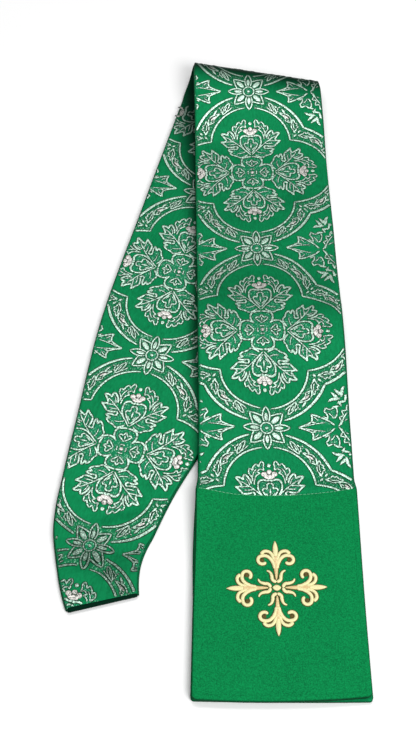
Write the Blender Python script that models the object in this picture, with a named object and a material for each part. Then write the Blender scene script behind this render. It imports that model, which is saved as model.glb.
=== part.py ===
"""Green brocade stole, folded in half at its neck seam and folded over once more.

The stole is two halves seamed at the back of the neck. They lie lining to lining, and the
doubled stole is folded over a soft, unpressed fold, so that it lies as two falls in a narrow V.
The front fall shows one half, down to its plain end panel with a cross. The back fall shows
the other half, down to the narrow, curved neck. What lies under them is one solid.

Every wall is measured from one surface, the outer face of the outermost cloth. A place on it
has flat coordinates in the uncut cloth: across the fall, and along it from the fold, positive
towards the end panel and negative towards the neck. A wall is a loft through sections, each
point of which is moved inwards from that surface by the depth of its own face.

Units: metres, +Z up, the origin on the floor under the middle of the whole stole.
"""

import math

import bpy
import numpy as np

MM = 0.001

# Cloth
WALL = 2.0 * MM               # brocade, interlining and lining of one half
PANEL_WALL = 1.2 * MM         # the plain cloth of an end panel
GAP = 0.3 * MM                # air between two cloths that lie on each other
MOTIF_WALL = 0.8 * MM         # padded embroidery
PITCH = WALL + GAP            # one cloth and the air over it
PANEL_PITCH = PANEL_WALL + GAP

# Lengths along the cloth, from the back of the fold
FRONT_LENGTH = 603.0 * MM     # to the hem of the front fall
BACK_LENGTH = 546.0 * MM      # to the neck seam
PANEL_LENGTH = 165.0 * MM     # an end panel, up from the hem
PANEL_SAG = 5.5 * MM          # the panel's top edge hangs lower in the middle
PANEL_MIDDLE_SAG = 1.5 * MM
HEM_SAG = 2.5 * MM
SAG_REACH = 40.0 * MM         # a sag fades over this length
HIDDEN_HEM = 1.2 * MM         # the lower half's hem is this much longer
HIDDEN_HEM_SAG = 0.5 * MM
HIDDEN_HEM_SKEW = 1.3 * MM    # and lies lower at the right by this much
HIDDEN_EDGE = 0.7 * MM        # the lower half's side edges show this much
CORNER = 3.0 * MM             # rounded bottom corners
PANEL_CORNER = 4.0 * MM
PANEL_EDGE = 0.35 * MM        # rounding of the panel's edges
LIP_CLEAR = 0.4 * MM          # the panel's turned edge ends this far above the brocade's underside
END_SHARE = 0.45              # share of a wall's thickness that is left at its two ends

# How far the cloth reaches to the left and right of the fall's centre line
REACH_COLUMNS = ("along", "left", "right")
REACH_TABLE_MM = (
    (-546.0, 27.2, 27.2),     # neck seam
    (-515.0, 32.8, 30.5),
    (-485.0, 42.0, 35.5),
    (-447.0, 47.0, 41.5),
    (-401.0, 51.5, 52.5),
    (-314.0, 60.0, 58.5),     # neck shaping starts
    (-174.0, 60.5, 58.5),
    (0.0, 59.0, 57.6),        # fold
    (43.0, 58.8, 58.4),
    (157.0, 58.8, 61.2),
    (296.0, 58.4, 62.2),
    (382.0, 58.8, 62.6),
    (438.0, 59.8, 62.2),      # top of the end panel
    (545.0, 63.3, 61.6),
    (606.0, 65.2, 62.0),      # hem
)

# The neck curves to the right along an arc
NECK_ARC_RADIUS = 124.0 * MM
NECK_TURN = math.radians(28.0)

# The fold, seen from above
FOLD_WIDTH = 118.0 * MM
FOLD_ANGLE = math.radians(-7.0)        # the fold line from +X
HALF_ANGLE = math.radians(7.8)         # each fall from the fold line's normal
LOOP_HEIGHT_LEFT = 24.0 * MM           # the fold is fuller at its left end
LOOP_HEIGHT_RIGHT = 17.0 * MM
LOOP_DEPTH_LEFT = 17.5 * MM
LOOP_DEPTH_RIGHT = 12.5 * MM
SETTLE_LENGTH = 85.0 * MM              # over which the top of the loop comes down

# Where the front fall lies over the back one and the floor
STACK = 2 * PITCH - GAP                # two cloths
LIFT = 2 * PITCH                       # two more cloths under them
LIFT_CLEAR = 18.0 * MM                 # full lift starts this far outside the lower fall's edge
LIFT_RAMP = 32.0 * MM
PANEL_RAMP = 12.0 * MM
WAVE_HEIGHT = 12.0 * MM                # one soft wave across the front fall
WAVE_MIDDLE = 296.0 * MM
WAVE_HALF_LENGTH = 88.0 * MM

# The cross
CROSS_ACROSS = -2.0 * MM
CROSS_ALONG = 519.5 * MM

# Mesh
ACROSS_POINTS = 9
ROUND = 0.29                           # a chamfer's step, as a part of its radius
SCROLL_POINTS = 12
LOOP_POINTS = 181
NORMAL_STEP = 0.5 * MM                 # over which the surface's directions are measured
STATION_CLEAR = 0.5 * MM               # shared stations keep this far from a wall's ends

# name, from, to (mm along the cloth), number of steps
STRETCHES = (
    ("neck", -546.0, -485.0, 7),
    ("back fall", -485.0, -62.0, 24),
    ("bottom of the fold", -62.0, -30.0, 8),
    ("fold", -30.0, 30.0, 20),
    ("settling", 30.0, 120.0, 8),
    ("front fall", 120.0, 426.0, 23),
    ("top of the panel", 426.0, 438.0, 3),
    ("panel", 438.0, 594.0, 11),
    ("hem", 594.0, 600.0, 3),
)
FRONT_ROOT = -40.0 * MM                # the front half's wall ends under the fold
CROSSOVER = -48.0 * MM                 # by here the hidden cloth has come down to the floor
BACK_ROOT = -50.0 * MM                 # the back half's wall starts inside the fold

GREEN = (0.005, 0.262, 0.072, 1.0)
PLAIN_GREEN = (0.003, 0.250, 0.066, 1.0)
LINING_GREEN = (0.004, 0.130, 0.040, 1.0)
GOLD = (0.780, 0.560, 0.200, 1.0)


def smooth_step(amount):
    """0 below 0, 1 above 1, and a cosine between them."""
    return 0.5 - 0.5 * np.cos(np.pi * np.clip(amount, 0.0, 1.0))


def smooth_table(where, places, values):
    """Cubic Hermite curve through a table's values, with the slopes of its neighbours."""
    slopes = np.gradient(values, places)
    row = np.clip(np.searchsorted(places, where) - 1, 0, len(places) - 2)
    span = places[row + 1] - places[row]
    t = np.clip((where - places[row]) / span, 0.0, 1.0)
    start = values[row] * (1 + 2 * t) * (1 - t) ** 2 + slopes[row] * span * t * (1 - t) ** 2
    end = values[row + 1] * t * t * (3 - 2 * t) - slopes[row + 1] * span * t * t * (1 - t)
    return start + end


def reach(along):
    """How far the brocade reaches to the left and right at each place along the stole."""
    table = np.array(REACH_TABLE_MM) * MM
    column = {name: table[:, number] for number, name in enumerate(REACH_COLUMNS)}
    return tuple(smooth_table(along, column["along"], column[side]) for side in ("left", "right"))


def flat_place(along, across):
    """Flat coordinates of a point on a section; the sections fan out along the neck's arc."""
    arc_start = -(BACK_LENGTH - NECK_ARC_RADIUS * NECK_TURN)
    turn = np.clip((arc_start - along) / NECK_ARC_RADIUS, 0.0, None)
    middle_u = NECK_ARC_RADIUS * (1 - np.cos(turn))
    middle_v = np.maximum(along, arc_start) - NECK_ARC_RADIUS * np.sin(turn)
    return middle_u + across * np.cos(turn), middle_v + across * np.sin(turn)


def fold_axes():
    """Unit vectors in plan: along the fold line to the right, and out past the fold."""
    along_fold = np.array([math.cos(FOLD_ANGLE), math.sin(FOLD_ANGLE)])
    outwards = np.array([-along_fold[1], along_fold[0]])
    return along_fold, outwards


def loop_tables():
    """Arc length of the middle of the loop against its angle, from its lower to its upper end."""
    depth = (LOOP_DEPTH_LEFT + LOOP_DEPTH_RIGHT) / 2
    half_height = (LOOP_HEIGHT_LEFT + LOOP_HEIGHT_RIGHT) / 4
    angle = np.linspace(-math.pi / 2, math.pi / 2, LOOP_POINTS)
    step = np.hypot(np.diff(depth * np.cos(angle)), np.diff(half_height * np.sin(angle)))
    length = np.concatenate([[0.0], np.cumsum(step)])
    return angle, length - length[-1] / 2, depth


def front_height(fold_a, travel, along):
    """Height of the front fall's top face: its cloths, those under it, one wave, the panel.

    The place straight below on the back fall has the same distance along the fold line and the
    opposite travel, which gives its flat coordinates and so how far it is inside that fall.
    """
    lower_u = fold_a * math.cos(HALF_ANGLE) + travel * math.sin(HALF_ANGLE)
    lower_v = fold_a * math.sin(HALF_ANGLE) - travel * math.cos(HALF_ANGLE)
    _, lower_right = reach(np.clip(lower_v, -BACK_LENGTH, 0.0))
    inside = lower_right - lower_u
    lift = LIFT * smooth_step((inside + LIFT_CLEAR + LIFT_RAMP) / LIFT_RAMP)
    wave = np.clip(np.abs(along - WAVE_MIDDLE) / WAVE_HALF_LENGTH, 0.0, 1.0)
    wave_height = WAVE_HEIGHT * (0.5 + 0.5 * np.cos(np.pi * wave))
    return STACK + lift + wave_height + PANEL_PITCH * panel_share(along)


def panel_share(along):
    """0 above the end panel and 1 along it, with a short ramp before its top edge."""
    return smooth_step((along - (FRONT_LENGTH - PANEL_LENGTH - PANEL_RAMP)) / PANEL_RAMP)


def outer_face(flat_u, flat_v):
    """The outermost cloth's outer face: a loop about the fold line, then a fall each way.

    The flat cloth is turned by the half angle, so that one of its directions runs along the fold
    line. Along the other it follows half an ellipse, fuller at the left end. Past the lower end
    of the ellipse it lies on the floor, and past the upper end it settles onto the front fall.
    """
    fold_a = flat_u * math.cos(HALF_ANGLE) + flat_v * math.sin(HALF_ANGLE)
    travel = flat_v * math.cos(HALF_ANGLE) - flat_u * math.sin(HALF_ANGLE)
    angle, length, depth = loop_tables()
    quarter = length[-1]
    loop_angle = np.interp(travel, length, angle)
    share = np.clip(0.5 + fold_a / FOLD_WIDTH, 0.0, 1.0)
    loop_depth = LOOP_DEPTH_LEFT + (LOOP_DEPTH_RIGHT - LOOP_DEPTH_LEFT) * share
    loop_height = LOOP_HEIGHT_LEFT + (LOOP_HEIGHT_RIGHT - LOOP_HEIGHT_LEFT) * share
    past = np.maximum(np.abs(travel) - quarter, 0.0)
    fold_n = loop_depth * np.cos(loop_angle) - depth - past
    height = loop_height * (0.5 + 0.5 * np.sin(loop_angle))
    settled = smooth_step(past / SETTLE_LENGTH)
    rest = front_height(fold_a, travel, flat_v)
    height = np.where(travel > quarter, height + (rest - height) * settled, height)
    along_fold, outwards = fold_axes()
    plan = fold_a[..., None] * along_fold + fold_n[..., None] * outwards
    return np.concatenate([plan, height[..., None]], axis=-1)


def cloth_points(along, across, depth):
    """Points at a depth under the outer face, for arrays of one shape; a negative depth is out."""
    flat_u, flat_v = flat_place(along, across)
    point = outer_face(flat_u, flat_v)
    side = outer_face(flat_u + NORMAL_STEP, flat_v) - outer_face(flat_u - NORMAL_STEP, flat_v)
    ahead = outer_face(flat_u, flat_v + NORMAL_STEP) - outer_face(flat_u, flat_v - NORMAL_STEP)
    normal = np.cross(side, ahead)
    normal /= np.linalg.norm(normal, axis=-1, keepdims=True)
    point = point + normal * depth[..., None]
    point[..., 2] = np.maximum(point[..., 2], 0.0)
    return point


def stations(first, last, extra=()):
    """Places along the stole that all walls share, between two ends, with some of a wall's own."""
    shared = [np.linspace(start, end, steps + 1) for _, start, end, steps in STRETCHES]
    places = np.unique(np.round(np.concatenate(shared) * MM, 6))
    inside = places[(places > first + STATION_CLEAR) & (places < last - STATION_CLEAR)]
    return np.unique(np.concatenate([[first], inside, extra, [last]]))


def bow(along, across, hem_sag, hem_skew):
    """How much further along a section runs in its middle, and at the right end of the hem."""
    left, right = (side[:, None] for side in reach(along))
    top = FRONT_LENGTH - PANEL_LENGTH
    places = [top - SAG_REACH, top, top + SAG_REACH, FRONT_LENGTH]
    sag = np.interp(along, places, [0.0, PANEL_SAG, PANEL_MIDDLE_SAG, hem_sag])
    skew = hem_skew * smooth_step((along - FRONT_LENGTH + SAG_REACH) / SAG_REACH)
    share = (across - (right - left) / 2) / ((left + right) / 2)
    return sag[:, None] * (1 - share ** 2) + skew[:, None] * share


def corner_inset(along, end, radius):
    """How much a rounded corner takes off each side edge near the end of a wall."""
    left_over = np.clip(radius - (end - along), 0.0, radius)
    return radius - np.sqrt(radius ** 2 - left_over ** 2)


def loft(name, along, across, depth, hem_sag=HEM_SAG, hem_skew=0.0):
    """A closed body through sections: one row of points for each place along the cloth.

    The corner that starts each four-sided face makes its two triangles meet along the same line
    of the flat cloth on the upper and the lower face, so that walls stay parallel where they bend.
    """
    places = along[:, None] + bow(along, across, hem_sag, hem_skew)
    points = cloth_points(places, across, depth)
    rows, count = across.shape
    last = (rows - 1) * count
    faces = [tuple(range(count)), tuple(last + i for i in range(count - 1, -1, -1))]
    for row in range(rows - 1):
        for i in range(count):
            here = row * count + i
            beside = row * count + (i + 1) % count
            goes_left = across[row, (i + 1) % count] < across[row, i]
            if goes_left:
                faces.append((here + count, beside + count, beside, here))
            else:
                faces.append((here, here + count, beside + count, beside))
    mesh = bpy.data.meshes.new(name)
    mesh.from_pydata(points.reshape(-1, 3), [], faces)
    return mesh


def inner_places(left, right):
    """Places across the cloth that all walls share, inside the brocade's rounded edges."""
    share = np.linspace(0.0, 1.0, ACROSS_POINTS)
    edge = WALL / 2
    return (edge - left)[:, None] + share * (left + right - 2 * edge)[:, None]


def wall_section(left, right, inner, top, bottom):
    """Sections of a plain wall with rounded edges: its top face, right edge, underside, left edge."""
    half = (bottom - top) / 2
    step = ROUND * half
    across = np.concatenate([
        inner,
        np.stack([right - step, right, right - step], axis=1),
        inner[:, ::-1],
        np.stack([step - left, -left, step - left], axis=1),
    ], axis=1)
    flat = np.ones_like(inner)
    depth = np.concatenate([
        top[:, None] * flat,
        np.stack([top + step, top + half, bottom - step], axis=1),
        bottom[:, None] * flat,
        np.stack([bottom - step, top + half, top + step], axis=1),
    ], axis=1)
    return across, depth


def ends_taper(along, radius):
    """Share of a wall's thickness at each place: its two ends are softened."""
    from_end = np.minimum(along - along[0], along[-1] - along)
    return END_SHARE + (1 - END_SHARE) * smooth_step(from_end / radius)


def plain_wall(name, along, top, bottom, inset, widen=0.0, **hem):
    """A wall between two depths; inset narrows it and widen moves its edges out, along it."""
    left, right = reach(along)
    left = left - inset
    right = right - inset
    inner = inner_places(left, right)
    middle = (top + bottom) / 2
    half = (bottom - top) / 2 * ends_taper(along, WALL / 2)
    across, depth = wall_section(left + widen, right + widen, inner, middle - half, middle + half)
    return loft(name, along, across, depth, **hem)


def front_half_mesh():
    """The half that shows on the front fall, round the fold and in under it."""
    end = FRONT_LENGTH - PANEL_PITCH
    along = stations(FRONT_ROOT, end, [FRONT_ROOT + WALL / 2, end - WALL / 2, end - WALL])
    return plain_wall("front_half", along, 0.0, WALL, corner_inset(along, end, CORNER))


def back_half_mesh():
    """The half that shows on the back fall, from inside the fold to the neck seam."""
    ends = [-BACK_LENGTH + WALL / 2, BACK_ROOT - WALL / 2]
    along = stations(-BACK_LENGTH, BACK_ROOT, ends)
    return plain_wall("back_half", along, PITCH, PITCH + WALL, inset=0.0)


def folded_layers_mesh():
    """All the hidden cloth as one solid: under the front fall, round the fold, under the back."""
    end = FRONT_LENGTH + HIDDEN_HEM
    along = stations(-BACK_LENGTH, end, [-BACK_LENGTH + WALL / 2, end - WALL / 2, end - WALL])
    drop = smooth_step((FRONT_ROOT - GAP - along) / (FRONT_ROOT - GAP - CROSSOVER))
    top = PITCH * (1 - drop)
    bottom = top + WALL + PANEL_PITCH * panel_share(along)
    widen = HIDDEN_EDGE + PANEL_PITCH * panel_share(along)
    return plain_wall("folded_layers", along, top, bottom, corner_inset(along, end, CORNER), widen,
                      hem_sag=HIDDEN_HEM_SAG, hem_skew=HIDDEN_HEM_SKEW)


def end_panel_mesh():
    """The plain cloth over the end of the front half, turned down over its sides and its hem."""
    top_edge = FRONT_LENGTH - PANEL_LENGTH
    end = FRONT_LENGTH
    lip = end - PANEL_WALL
    along = stations(top_edge, end, [top_edge + PANEL_WALL / 2, lip - GAP / 2, lip, end - GAP])
    inset = corner_inset(along, end, PANEL_CORNER)
    brocade_left, brocade_right = (side - inset for side in reach(along))
    inner = inner_places(brocade_left, brocade_right)
    left = brocade_left + PANEL_PITCH
    right = brocade_right + PANEL_PITCH
    at_end = (along == along[0]) | (along == along[-1])
    over = np.where(at_end, PANEL_EDGE, 0.0) - PANEL_PITCH
    low = np.full_like(along, WALL - LIP_CLEAR)
    under = np.where(along < lip, -GAP, low)
    flat = np.ones_like(inner)
    across = np.concatenate([
        inner,
        np.stack([right - PANEL_EDGE, right, right, right - PANEL_WALL, right - PANEL_WALL], axis=1),
        inner[:, ::-1],
        np.stack([PANEL_WALL - left, PANEL_WALL - left, -left, -left, PANEL_EDGE - left], axis=1),
    ], axis=1)
    depth = np.concatenate([
        over[:, None] * flat,
        np.stack([over + PANEL_EDGE, over + 3 * PANEL_EDGE, low, low, under], axis=1),
        under[:, None] * flat,
        np.stack([under, low, low, over + 3 * PANEL_EDGE, over + PANEL_EDGE], axis=1),
    ], axis=1)
    return loft("end_panel", along, across, depth)


# Half of one arm of the cross, from its root to its point: across and along the arm, in mm
ARM_STEM_MM = (
    (1.1, 1.1),      # corner between two arms
    (2.9, 4.2),
    (3.7, 7.0),
    (4.0, 10.0),
    (6.6, 13.3),     # tip of the calyx's leaflet
    (2.9, 12.0),
    (2.2, 14.2),     # waist of the stem
    (2.8, 16.6),
    (5.4, 19.6),     # into the scroll
)
SCROLL_MIDDLE_MM = (10.2, 22.2)
SCROLL_RADIUS_MM = 5.0
SCROLL_FROM = math.radians(205.0)
SCROLL_TO = math.radians(410.0)
ARM_POINT_MM = (
    (9.0, 30.2),     # outer petal
    (5.2, 28.6),
    (3.4, 25.6),     # notch beside the long middle petal
    (2.6, 30.0),
    (0.0, 37.8),
)


def arm_outline():
    """One arm: root and stem, a round scroll, the petals to the point, and back mirrored."""
    turn = np.linspace(SCROLL_FROM, SCROLL_TO, SCROLL_POINTS)
    scroll = np.array(SCROLL_MIDDLE_MM) + SCROLL_RADIUS_MM * np.stack([np.cos(turn), np.sin(turn)], axis=1)
    side = np.concatenate([ARM_STEM_MM, scroll, ARM_POINT_MM]) * MM
    return np.concatenate([side, side[-2:0:-1] * [-1, 1]])


def cross_mesh():
    """A flat cross with four equal flowering arms, raised from the panel's face."""
    one_arm = arm_outline()
    arms = []
    for quarter in range(4):
        turn = -quarter * math.pi / 2
        turned = np.array([[math.cos(turn), -math.sin(turn)], [math.sin(turn), math.cos(turn)]])
        arms.append(one_arm[::-1] @ turned.T)
    outline = np.concatenate(arms)
    count = len(outline)
    low = np.full(count, -(PANEL_PITCH + GAP))
    high = low - MOTIF_WALL
    along = CROSS_ALONG - outline[:, 1]
    across = CROSS_ACROSS + outline[:, 0]
    points = np.concatenate([cloth_points(along, across, high), cloth_points(along, across, low)])
    faces = [tuple(range(count - 1, -1, -1)), tuple(range(count, 2 * count))]
    faces += [(i, (i + 1) % count, count + (i + 1) % count, count + i) for i in range(count)]
    mesh = bpy.data.meshes.new("cross")
    mesh.from_pydata(points, [], faces)
    return mesh


def material(name, colour, roughness, metallic=0.0):
    """A Principled material of one colour."""
    finish = bpy.data.materials.new(name)
    finish.use_nodes = True
    shader = finish.node_tree.nodes["Principled BSDF"]
    shader.inputs["Base Color"].default_value = colour
    shader.inputs["Roughness"].default_value = roughness
    shader.inputs["Metallic"].default_value = metallic
    finish.diffuse_color = colour
    return finish


def place(mesh, name, finish, collection):
    """One named object for a mesh, in its own material."""
    mesh.materials.append(finish)
    mesh.shade_smooth()
    mesh.set_sharp_from_angle(angle=math.radians(50.0))
    piece = bpy.data.objects.new(name, mesh)
    collection.objects.link(piece)
    return piece


def centre_on_floor(pieces):
    """Move all meshes so that the origin is under the middle of the whole stole."""
    corners = [vertex.co for piece in pieces for vertex in piece.data.vertices]
    low = np.min(corners, axis=0)
    high = np.max(corners, axis=0)
    middle = (low + high) / 2
    for piece in pieces:
        for vertex in piece.data.vertices:
            vertex.co.x -= middle[0]
            vertex.co.y -= middle[1]


def main():
    for item in list(bpy.data.objects):
        bpy.data.objects.remove(item, do_unlink=True)
    collection = bpy.data.collections.new("stole")
    bpy.context.scene.collection.children.link(collection)
    pieces = [
        place(front_half_mesh(), "front_half", material("brocade_front", GREEN, 0.55), collection),
        place(back_half_mesh(), "back_half", material("brocade_back", GREEN, 0.55), collection),
        place(folded_layers_mesh(), "folded_layers",
              material("hidden_cloth", LINING_GREEN, 0.7), collection),
        place(end_panel_mesh(), "end_panel", material("plain_cloth", PLAIN_GREEN, 0.75), collection),
        place(cross_mesh(), "cross", material("gold_thread", GOLD, 0.4, 0.4), collection),
    ]
    centre_on_floor(pieces)


main()
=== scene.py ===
"""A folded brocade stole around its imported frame: cloths, woven figures, end panel and cross.

Everything lies on one surface, the outer face of the outermost cloth. A place on it has flat
coordinates in the uncut cloth: across the fall, and along it from the back of the fold, positive
towards the end panel and negative towards the neck. A cloth, a raised thread or a stitch is a
grid of such places with a depth each, counted inwards from that surface.
"""

import math

import bpy
import mathutils
import numpy as np
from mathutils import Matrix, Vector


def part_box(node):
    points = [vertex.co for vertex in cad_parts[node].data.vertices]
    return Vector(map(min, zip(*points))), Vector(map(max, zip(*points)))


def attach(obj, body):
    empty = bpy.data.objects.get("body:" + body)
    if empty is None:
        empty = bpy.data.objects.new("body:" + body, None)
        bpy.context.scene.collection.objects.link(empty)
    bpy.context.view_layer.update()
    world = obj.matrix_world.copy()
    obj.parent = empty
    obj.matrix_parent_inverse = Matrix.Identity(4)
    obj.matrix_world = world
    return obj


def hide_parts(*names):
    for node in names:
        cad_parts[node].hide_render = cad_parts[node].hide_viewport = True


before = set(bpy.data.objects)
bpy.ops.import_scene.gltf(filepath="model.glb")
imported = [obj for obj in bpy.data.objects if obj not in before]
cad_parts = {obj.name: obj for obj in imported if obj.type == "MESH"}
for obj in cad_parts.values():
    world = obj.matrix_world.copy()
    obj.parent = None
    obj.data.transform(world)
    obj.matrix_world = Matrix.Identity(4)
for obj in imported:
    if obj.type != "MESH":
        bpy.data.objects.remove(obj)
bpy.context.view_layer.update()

bl_info = {
    "name": "Folded Stole",
    "version": (1, 0, 0),
    "blender": (4, 5, 0),
    "location": "3D View > Sidebar > Stole",
    "description": "Brocade cloths, woven figures and embroidery of a folded stole",
    "category": "Object",
}

MM = 0.001
CLOSED_SHARE = 0.12            # share of a cloth's thickness at its very end
EDGE_POINTS = 7                # points round one rounded edge
BEND_POINTS = 5                # points along a quarter round
EDGE_POWER = 0.7               # under 1 makes an edge blunter than half a sine wave
LINE_TAPER = 0.35              # share of its width that a line loses at each arc's ends
TAPER_POWER = 6                # a higher power keeps the taper nearer to the ends
LEAST_FILLED = 0.01            # share under a filled stroke's width at its very ends, before its power
STRAIGHT_BULGE = 1e-4          # stands for no bulge
ARC_POINTS = 3                 # least points along an arc
FILLED_POINTS = 7              # least points along a filled stroke
FOLD_CLEAR = 20.0 * MM         # past the fold, what the front fall covers can be left out
PANEL_ROUND = 0.7 * MM         # radius of the end panel's edges
FLOOR_HEIGHT = -0.2 * MM
FLOOR_POINTS = 9               # along each side of the floor
SENSOR_WIDTH = 36.0            # mm
CLIP_START = 0.01
OVERHEAD_BOX = {"place": (0.0, 0.5, 1.5), "aim": (0.0, 0.15, 0.0), "size": (1.4, 0.5)}
FRONT_BOX = {"place": (0.9, -1.1, 1.3), "aim": (0.0, 0.0, 0.0), "size": (1.1, 1.1)}
NECK_INSIDE = 0.3 * MM         # from the neck seam to the middle of its rounded fold
NECK_HALF_LENGTH = 1.9 * MM
NECK_PROUD = 0.25 * MM
NECK_STEP = 1.5 * MM
NECK_SIDES = 20
STITCH_PITCH = 3.0 * MM
STITCH_SHARE = 0.82            # share of its pitch that a stitch covers
STITCH_WIDTH = 0.75 * MM
STITCH_BASE = 0.9 * MM         # height of the slip stitches over the brocade
STITCH_OUT = 0.1 * MM
STITCH_SUNK = 0.1 * MM
STITCH_SHARES = (-0.7, 0.0, 0.7)
STITCH_HEIGHTS_MM = (0.22, 0.32, 0.22)
STITCH_POINTS = 5
STITCH_START = 0.1             # share of its pitch before a stitch
STITCH_LEAST = 0.2             # share under a stitch's width at its very ends, before its power
STITCH_POWER = 0.3
CREST_MIDDLE = 11.0 * MM       # way round the fold to the middle of its crest's shade
CREST_WIDTH = 9.5 * MM
CREST_SPREAD = 8.0 * MM        # how much wider that shade is at the fold's right end
EDGE_SHADE = 1.1 * MM          # width of the shade at a turned edge
SEAM_ALLOWANCE = 4.0 * MM      # cloth turned in under the end panel's edges
ALLOWANCE_STEP = 0.8 * MM      # the panel steps down over this width, past the turned-in cloth
SATIN_POINTS = 9               # across a padded satin band
THREAD_SUNK = 0.05 * MM        # how far a thread's edges are sunk into the cloth
SHOULDER_SHARE = 0.6           # a woven line's height at its sides, as a share of its middle's
FIGURES_UNDER_PANEL = 2.0 * MM  # woven lines run this far in under the end panel
FRONT_FIGURES_CLEAR = 10.0 * MM  # woven lines end this far before the hidden end of a half
BACK_FIGURES_CLEAR = 5.0 * MM
NECK_FIGURES_CLEAR = 1.5 * MM
OUTLINE_STEP = 1.0             # mm between the points of a leaf's outline
NARROW_SHARE = 0.3             # least share of the height on a narrow thread


# ---------------------------------------------------------------- the cloth's form, as in the frame

WALL = 2.0 * MM                # brocade, interlining and lining of one half
PANEL_WALL = 1.2 * MM
GAP = 0.3 * MM
PITCH = WALL + GAP
PANEL_PITCH = PANEL_WALL + GAP
FRONT_LENGTH = 603.0 * MM      # from the fold to the front fall's hem
BACK_LENGTH = 546.0 * MM       # from the fold to the neck seam
PANEL_LENGTH = 165.0 * MM
PANEL_SAG = 5.5 * MM
PANEL_MIDDLE_SAG = 1.5 * MM
HEM_SAG = 2.5 * MM
SAG_REACH = 40.0 * MM
HIDDEN_HEM = 1.2 * MM
HIDDEN_HEM_SAG = 0.5 * MM
HIDDEN_HEM_SKEW = 1.3 * MM
HIDDEN_EDGE = 0.7 * MM
CORNER = 3.0 * MM
PANEL_CORNER = 4.0 * MM
LIP_CLEAR = 0.4 * MM

# How far the cloth reaches to the left and right of the fall's centre line, at places along it, mm
REACH_COLUMNS = ("along", "left", "right")
REACH_TABLE = (
    (-546.0, 27.2, 27.2),
    (-515.0, 32.8, 30.5),
    (-485.0, 42.0, 35.5),
    (-447.0, 47.0, 41.5),
    (-401.0, 51.5, 52.5),
    (-314.0, 60.0, 58.5),
    (-174.0, 60.5, 58.5),
    (0.0, 59.0, 57.6),
    (43.0, 58.8, 58.4),
    (157.0, 58.8, 61.2),
    (296.0, 58.4, 62.2),
    (382.0, 58.8, 62.6),
    (438.0, 59.8, 62.2),
    (545.0, 63.3, 61.6),
    (606.0, 65.2, 62.0),
)
NECK_ARC_RADIUS = 124.0 * MM
NECK_TURN = math.radians(28.0)
NECK_ARC_START = NECK_ARC_RADIUS * NECK_TURN - BACK_LENGTH

FOLD_WIDTH = 118.0 * MM
FOLD_ANGLE = math.radians(-7.0)
HALF_ANGLE = math.radians(7.8)
LOOP_HEIGHT_LEFT = 24.0 * MM
LOOP_HEIGHT_RIGHT = 17.0 * MM
LOOP_DEPTH_LEFT = 17.5 * MM
LOOP_DEPTH_RIGHT = 12.5 * MM
LOOP_POINTS = 181
SETTLE_LENGTH = 85.0 * MM
STACK = 2 * PITCH - GAP
LIFT = 2 * PITCH
LIFT_CLEAR = 18.0 * MM
LIFT_RAMP = 32.0 * MM
PANEL_RAMP = 12.0 * MM
WAVE_HEIGHT = 12.0 * MM
WAVE_MIDDLE = 296.0 * MM
WAVE_HALF_LENGTH = 88.0 * MM
FRONT_ROOT = -40.0 * MM
CROSSOVER = -48.0 * MM
BACK_ROOT = -50.0 * MM
CROSS_ACROSS = -2.0 * MM
CROSS_ALONG = 519.5 * MM
NORMAL_STEP = 0.5 * MM

# A spot has its middle across and along, its turn from across in degrees, its half length and
# half width, and an amount; all but the turn and a shade's amount are in mm
SPOT_COLUMNS = ("across", "along", "turn", "length", "width", "amount")
# Soft creases: the amount is a ridge's height, or less than nothing for a trough
CREASES = (
    (48.0, 264.0, 166.0, 34.0, 8.0, -1.6),
    (40.0, 282.0, 160.0, 44.0, 12.0, 1.0),
    (-22.0, 232.0, 20.0, 30.0, 11.0, -0.6),
    (-40.0, 330.0, 75.0, 38.0, 10.0, 0.5),
    (20.0, 352.0, 100.0, 30.0, 9.0, -0.5),
    (-12.0, 150.0, 12.0, 52.0, 14.0, -0.5),
    (34.0, 118.0, 60.0, 40.0, 12.0, 0.5),
    (-36.0, 72.0, 150.0, 26.0, 10.0, 0.5),
    (10.0, 412.0, 4.0, 55.0, 10.0, -0.4),
    (-30.0, 480.0, 80.0, 60.0, 16.0, 0.3),
    (40.0, 560.0, 70.0, 46.0, 14.0, 0.3),
    (4.0, -470.0, 38.0, 42.0, 9.0, -1.4),
    (-16.0, -490.0, 30.0, 36.0, 8.0, 1.3),
    (16.0, -505.0, 52.0, 28.0, 6.5, -1.5),
    (-14.0, -526.0, 24.0, 24.0, 6.0, -1.2),
    (-4.0, -515.0, 40.0, 30.0, 6.0, 1.2),
    (-34.0, -380.0, 88.0, 60.0, 11.0, 0.6),
    (26.0, -420.0, 60.0, 34.0, 10.0, -0.6),
    (-44.0, -250.0, 95.0, 60.0, 12.0, -0.6),
    (-20.0, -180.0, 70.0, 44.0, 13.0, 0.6),
)
CREASE_BEND = 0.12

# How far the woven figures are stretched along the cloth, at places along it, mm
STRETCH_COLUMNS = ("along", "shift")
STRETCH_TABLE = (
    (-560.0, -0.5),
    (-502.0, -0.7),
    (-415.0, -2.7),
    (-327.0, 0.0),
    (-239.0, -0.5),
    (0.0, 1.5),
    (33.0, 2.2),
    (121.0, 2.0),
    (209.0, -1.3),
    (296.0, 2.8),
    (384.0, -1.3),
    (440.0, -1.0),
    (600.0, 0.0),
)

# Shade in the hollow beside the front fall: its width in mm and its depth, at mm along that fall
HOLLOW_COLUMNS = ("along", "width", "depth")
HOLLOW_TABLE = (
    (0.0, 36.0, 0.97),
    (50.0, 40.0, 0.98),
    (75.0, 30.0, 0.96),
    (110.0, 19.0, 0.90),
    (150.0, 15.0, 0.86),
    (200.0, 13.0, 0.85),
    (250.0, 9.0, 0.65),
    (290.0, 12.0, 0.70),
    (340.0, 13.0, 0.53),
    (380.0, 11.0, 0.46),
    (440.0, 6.0, 0.40),
)
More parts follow.
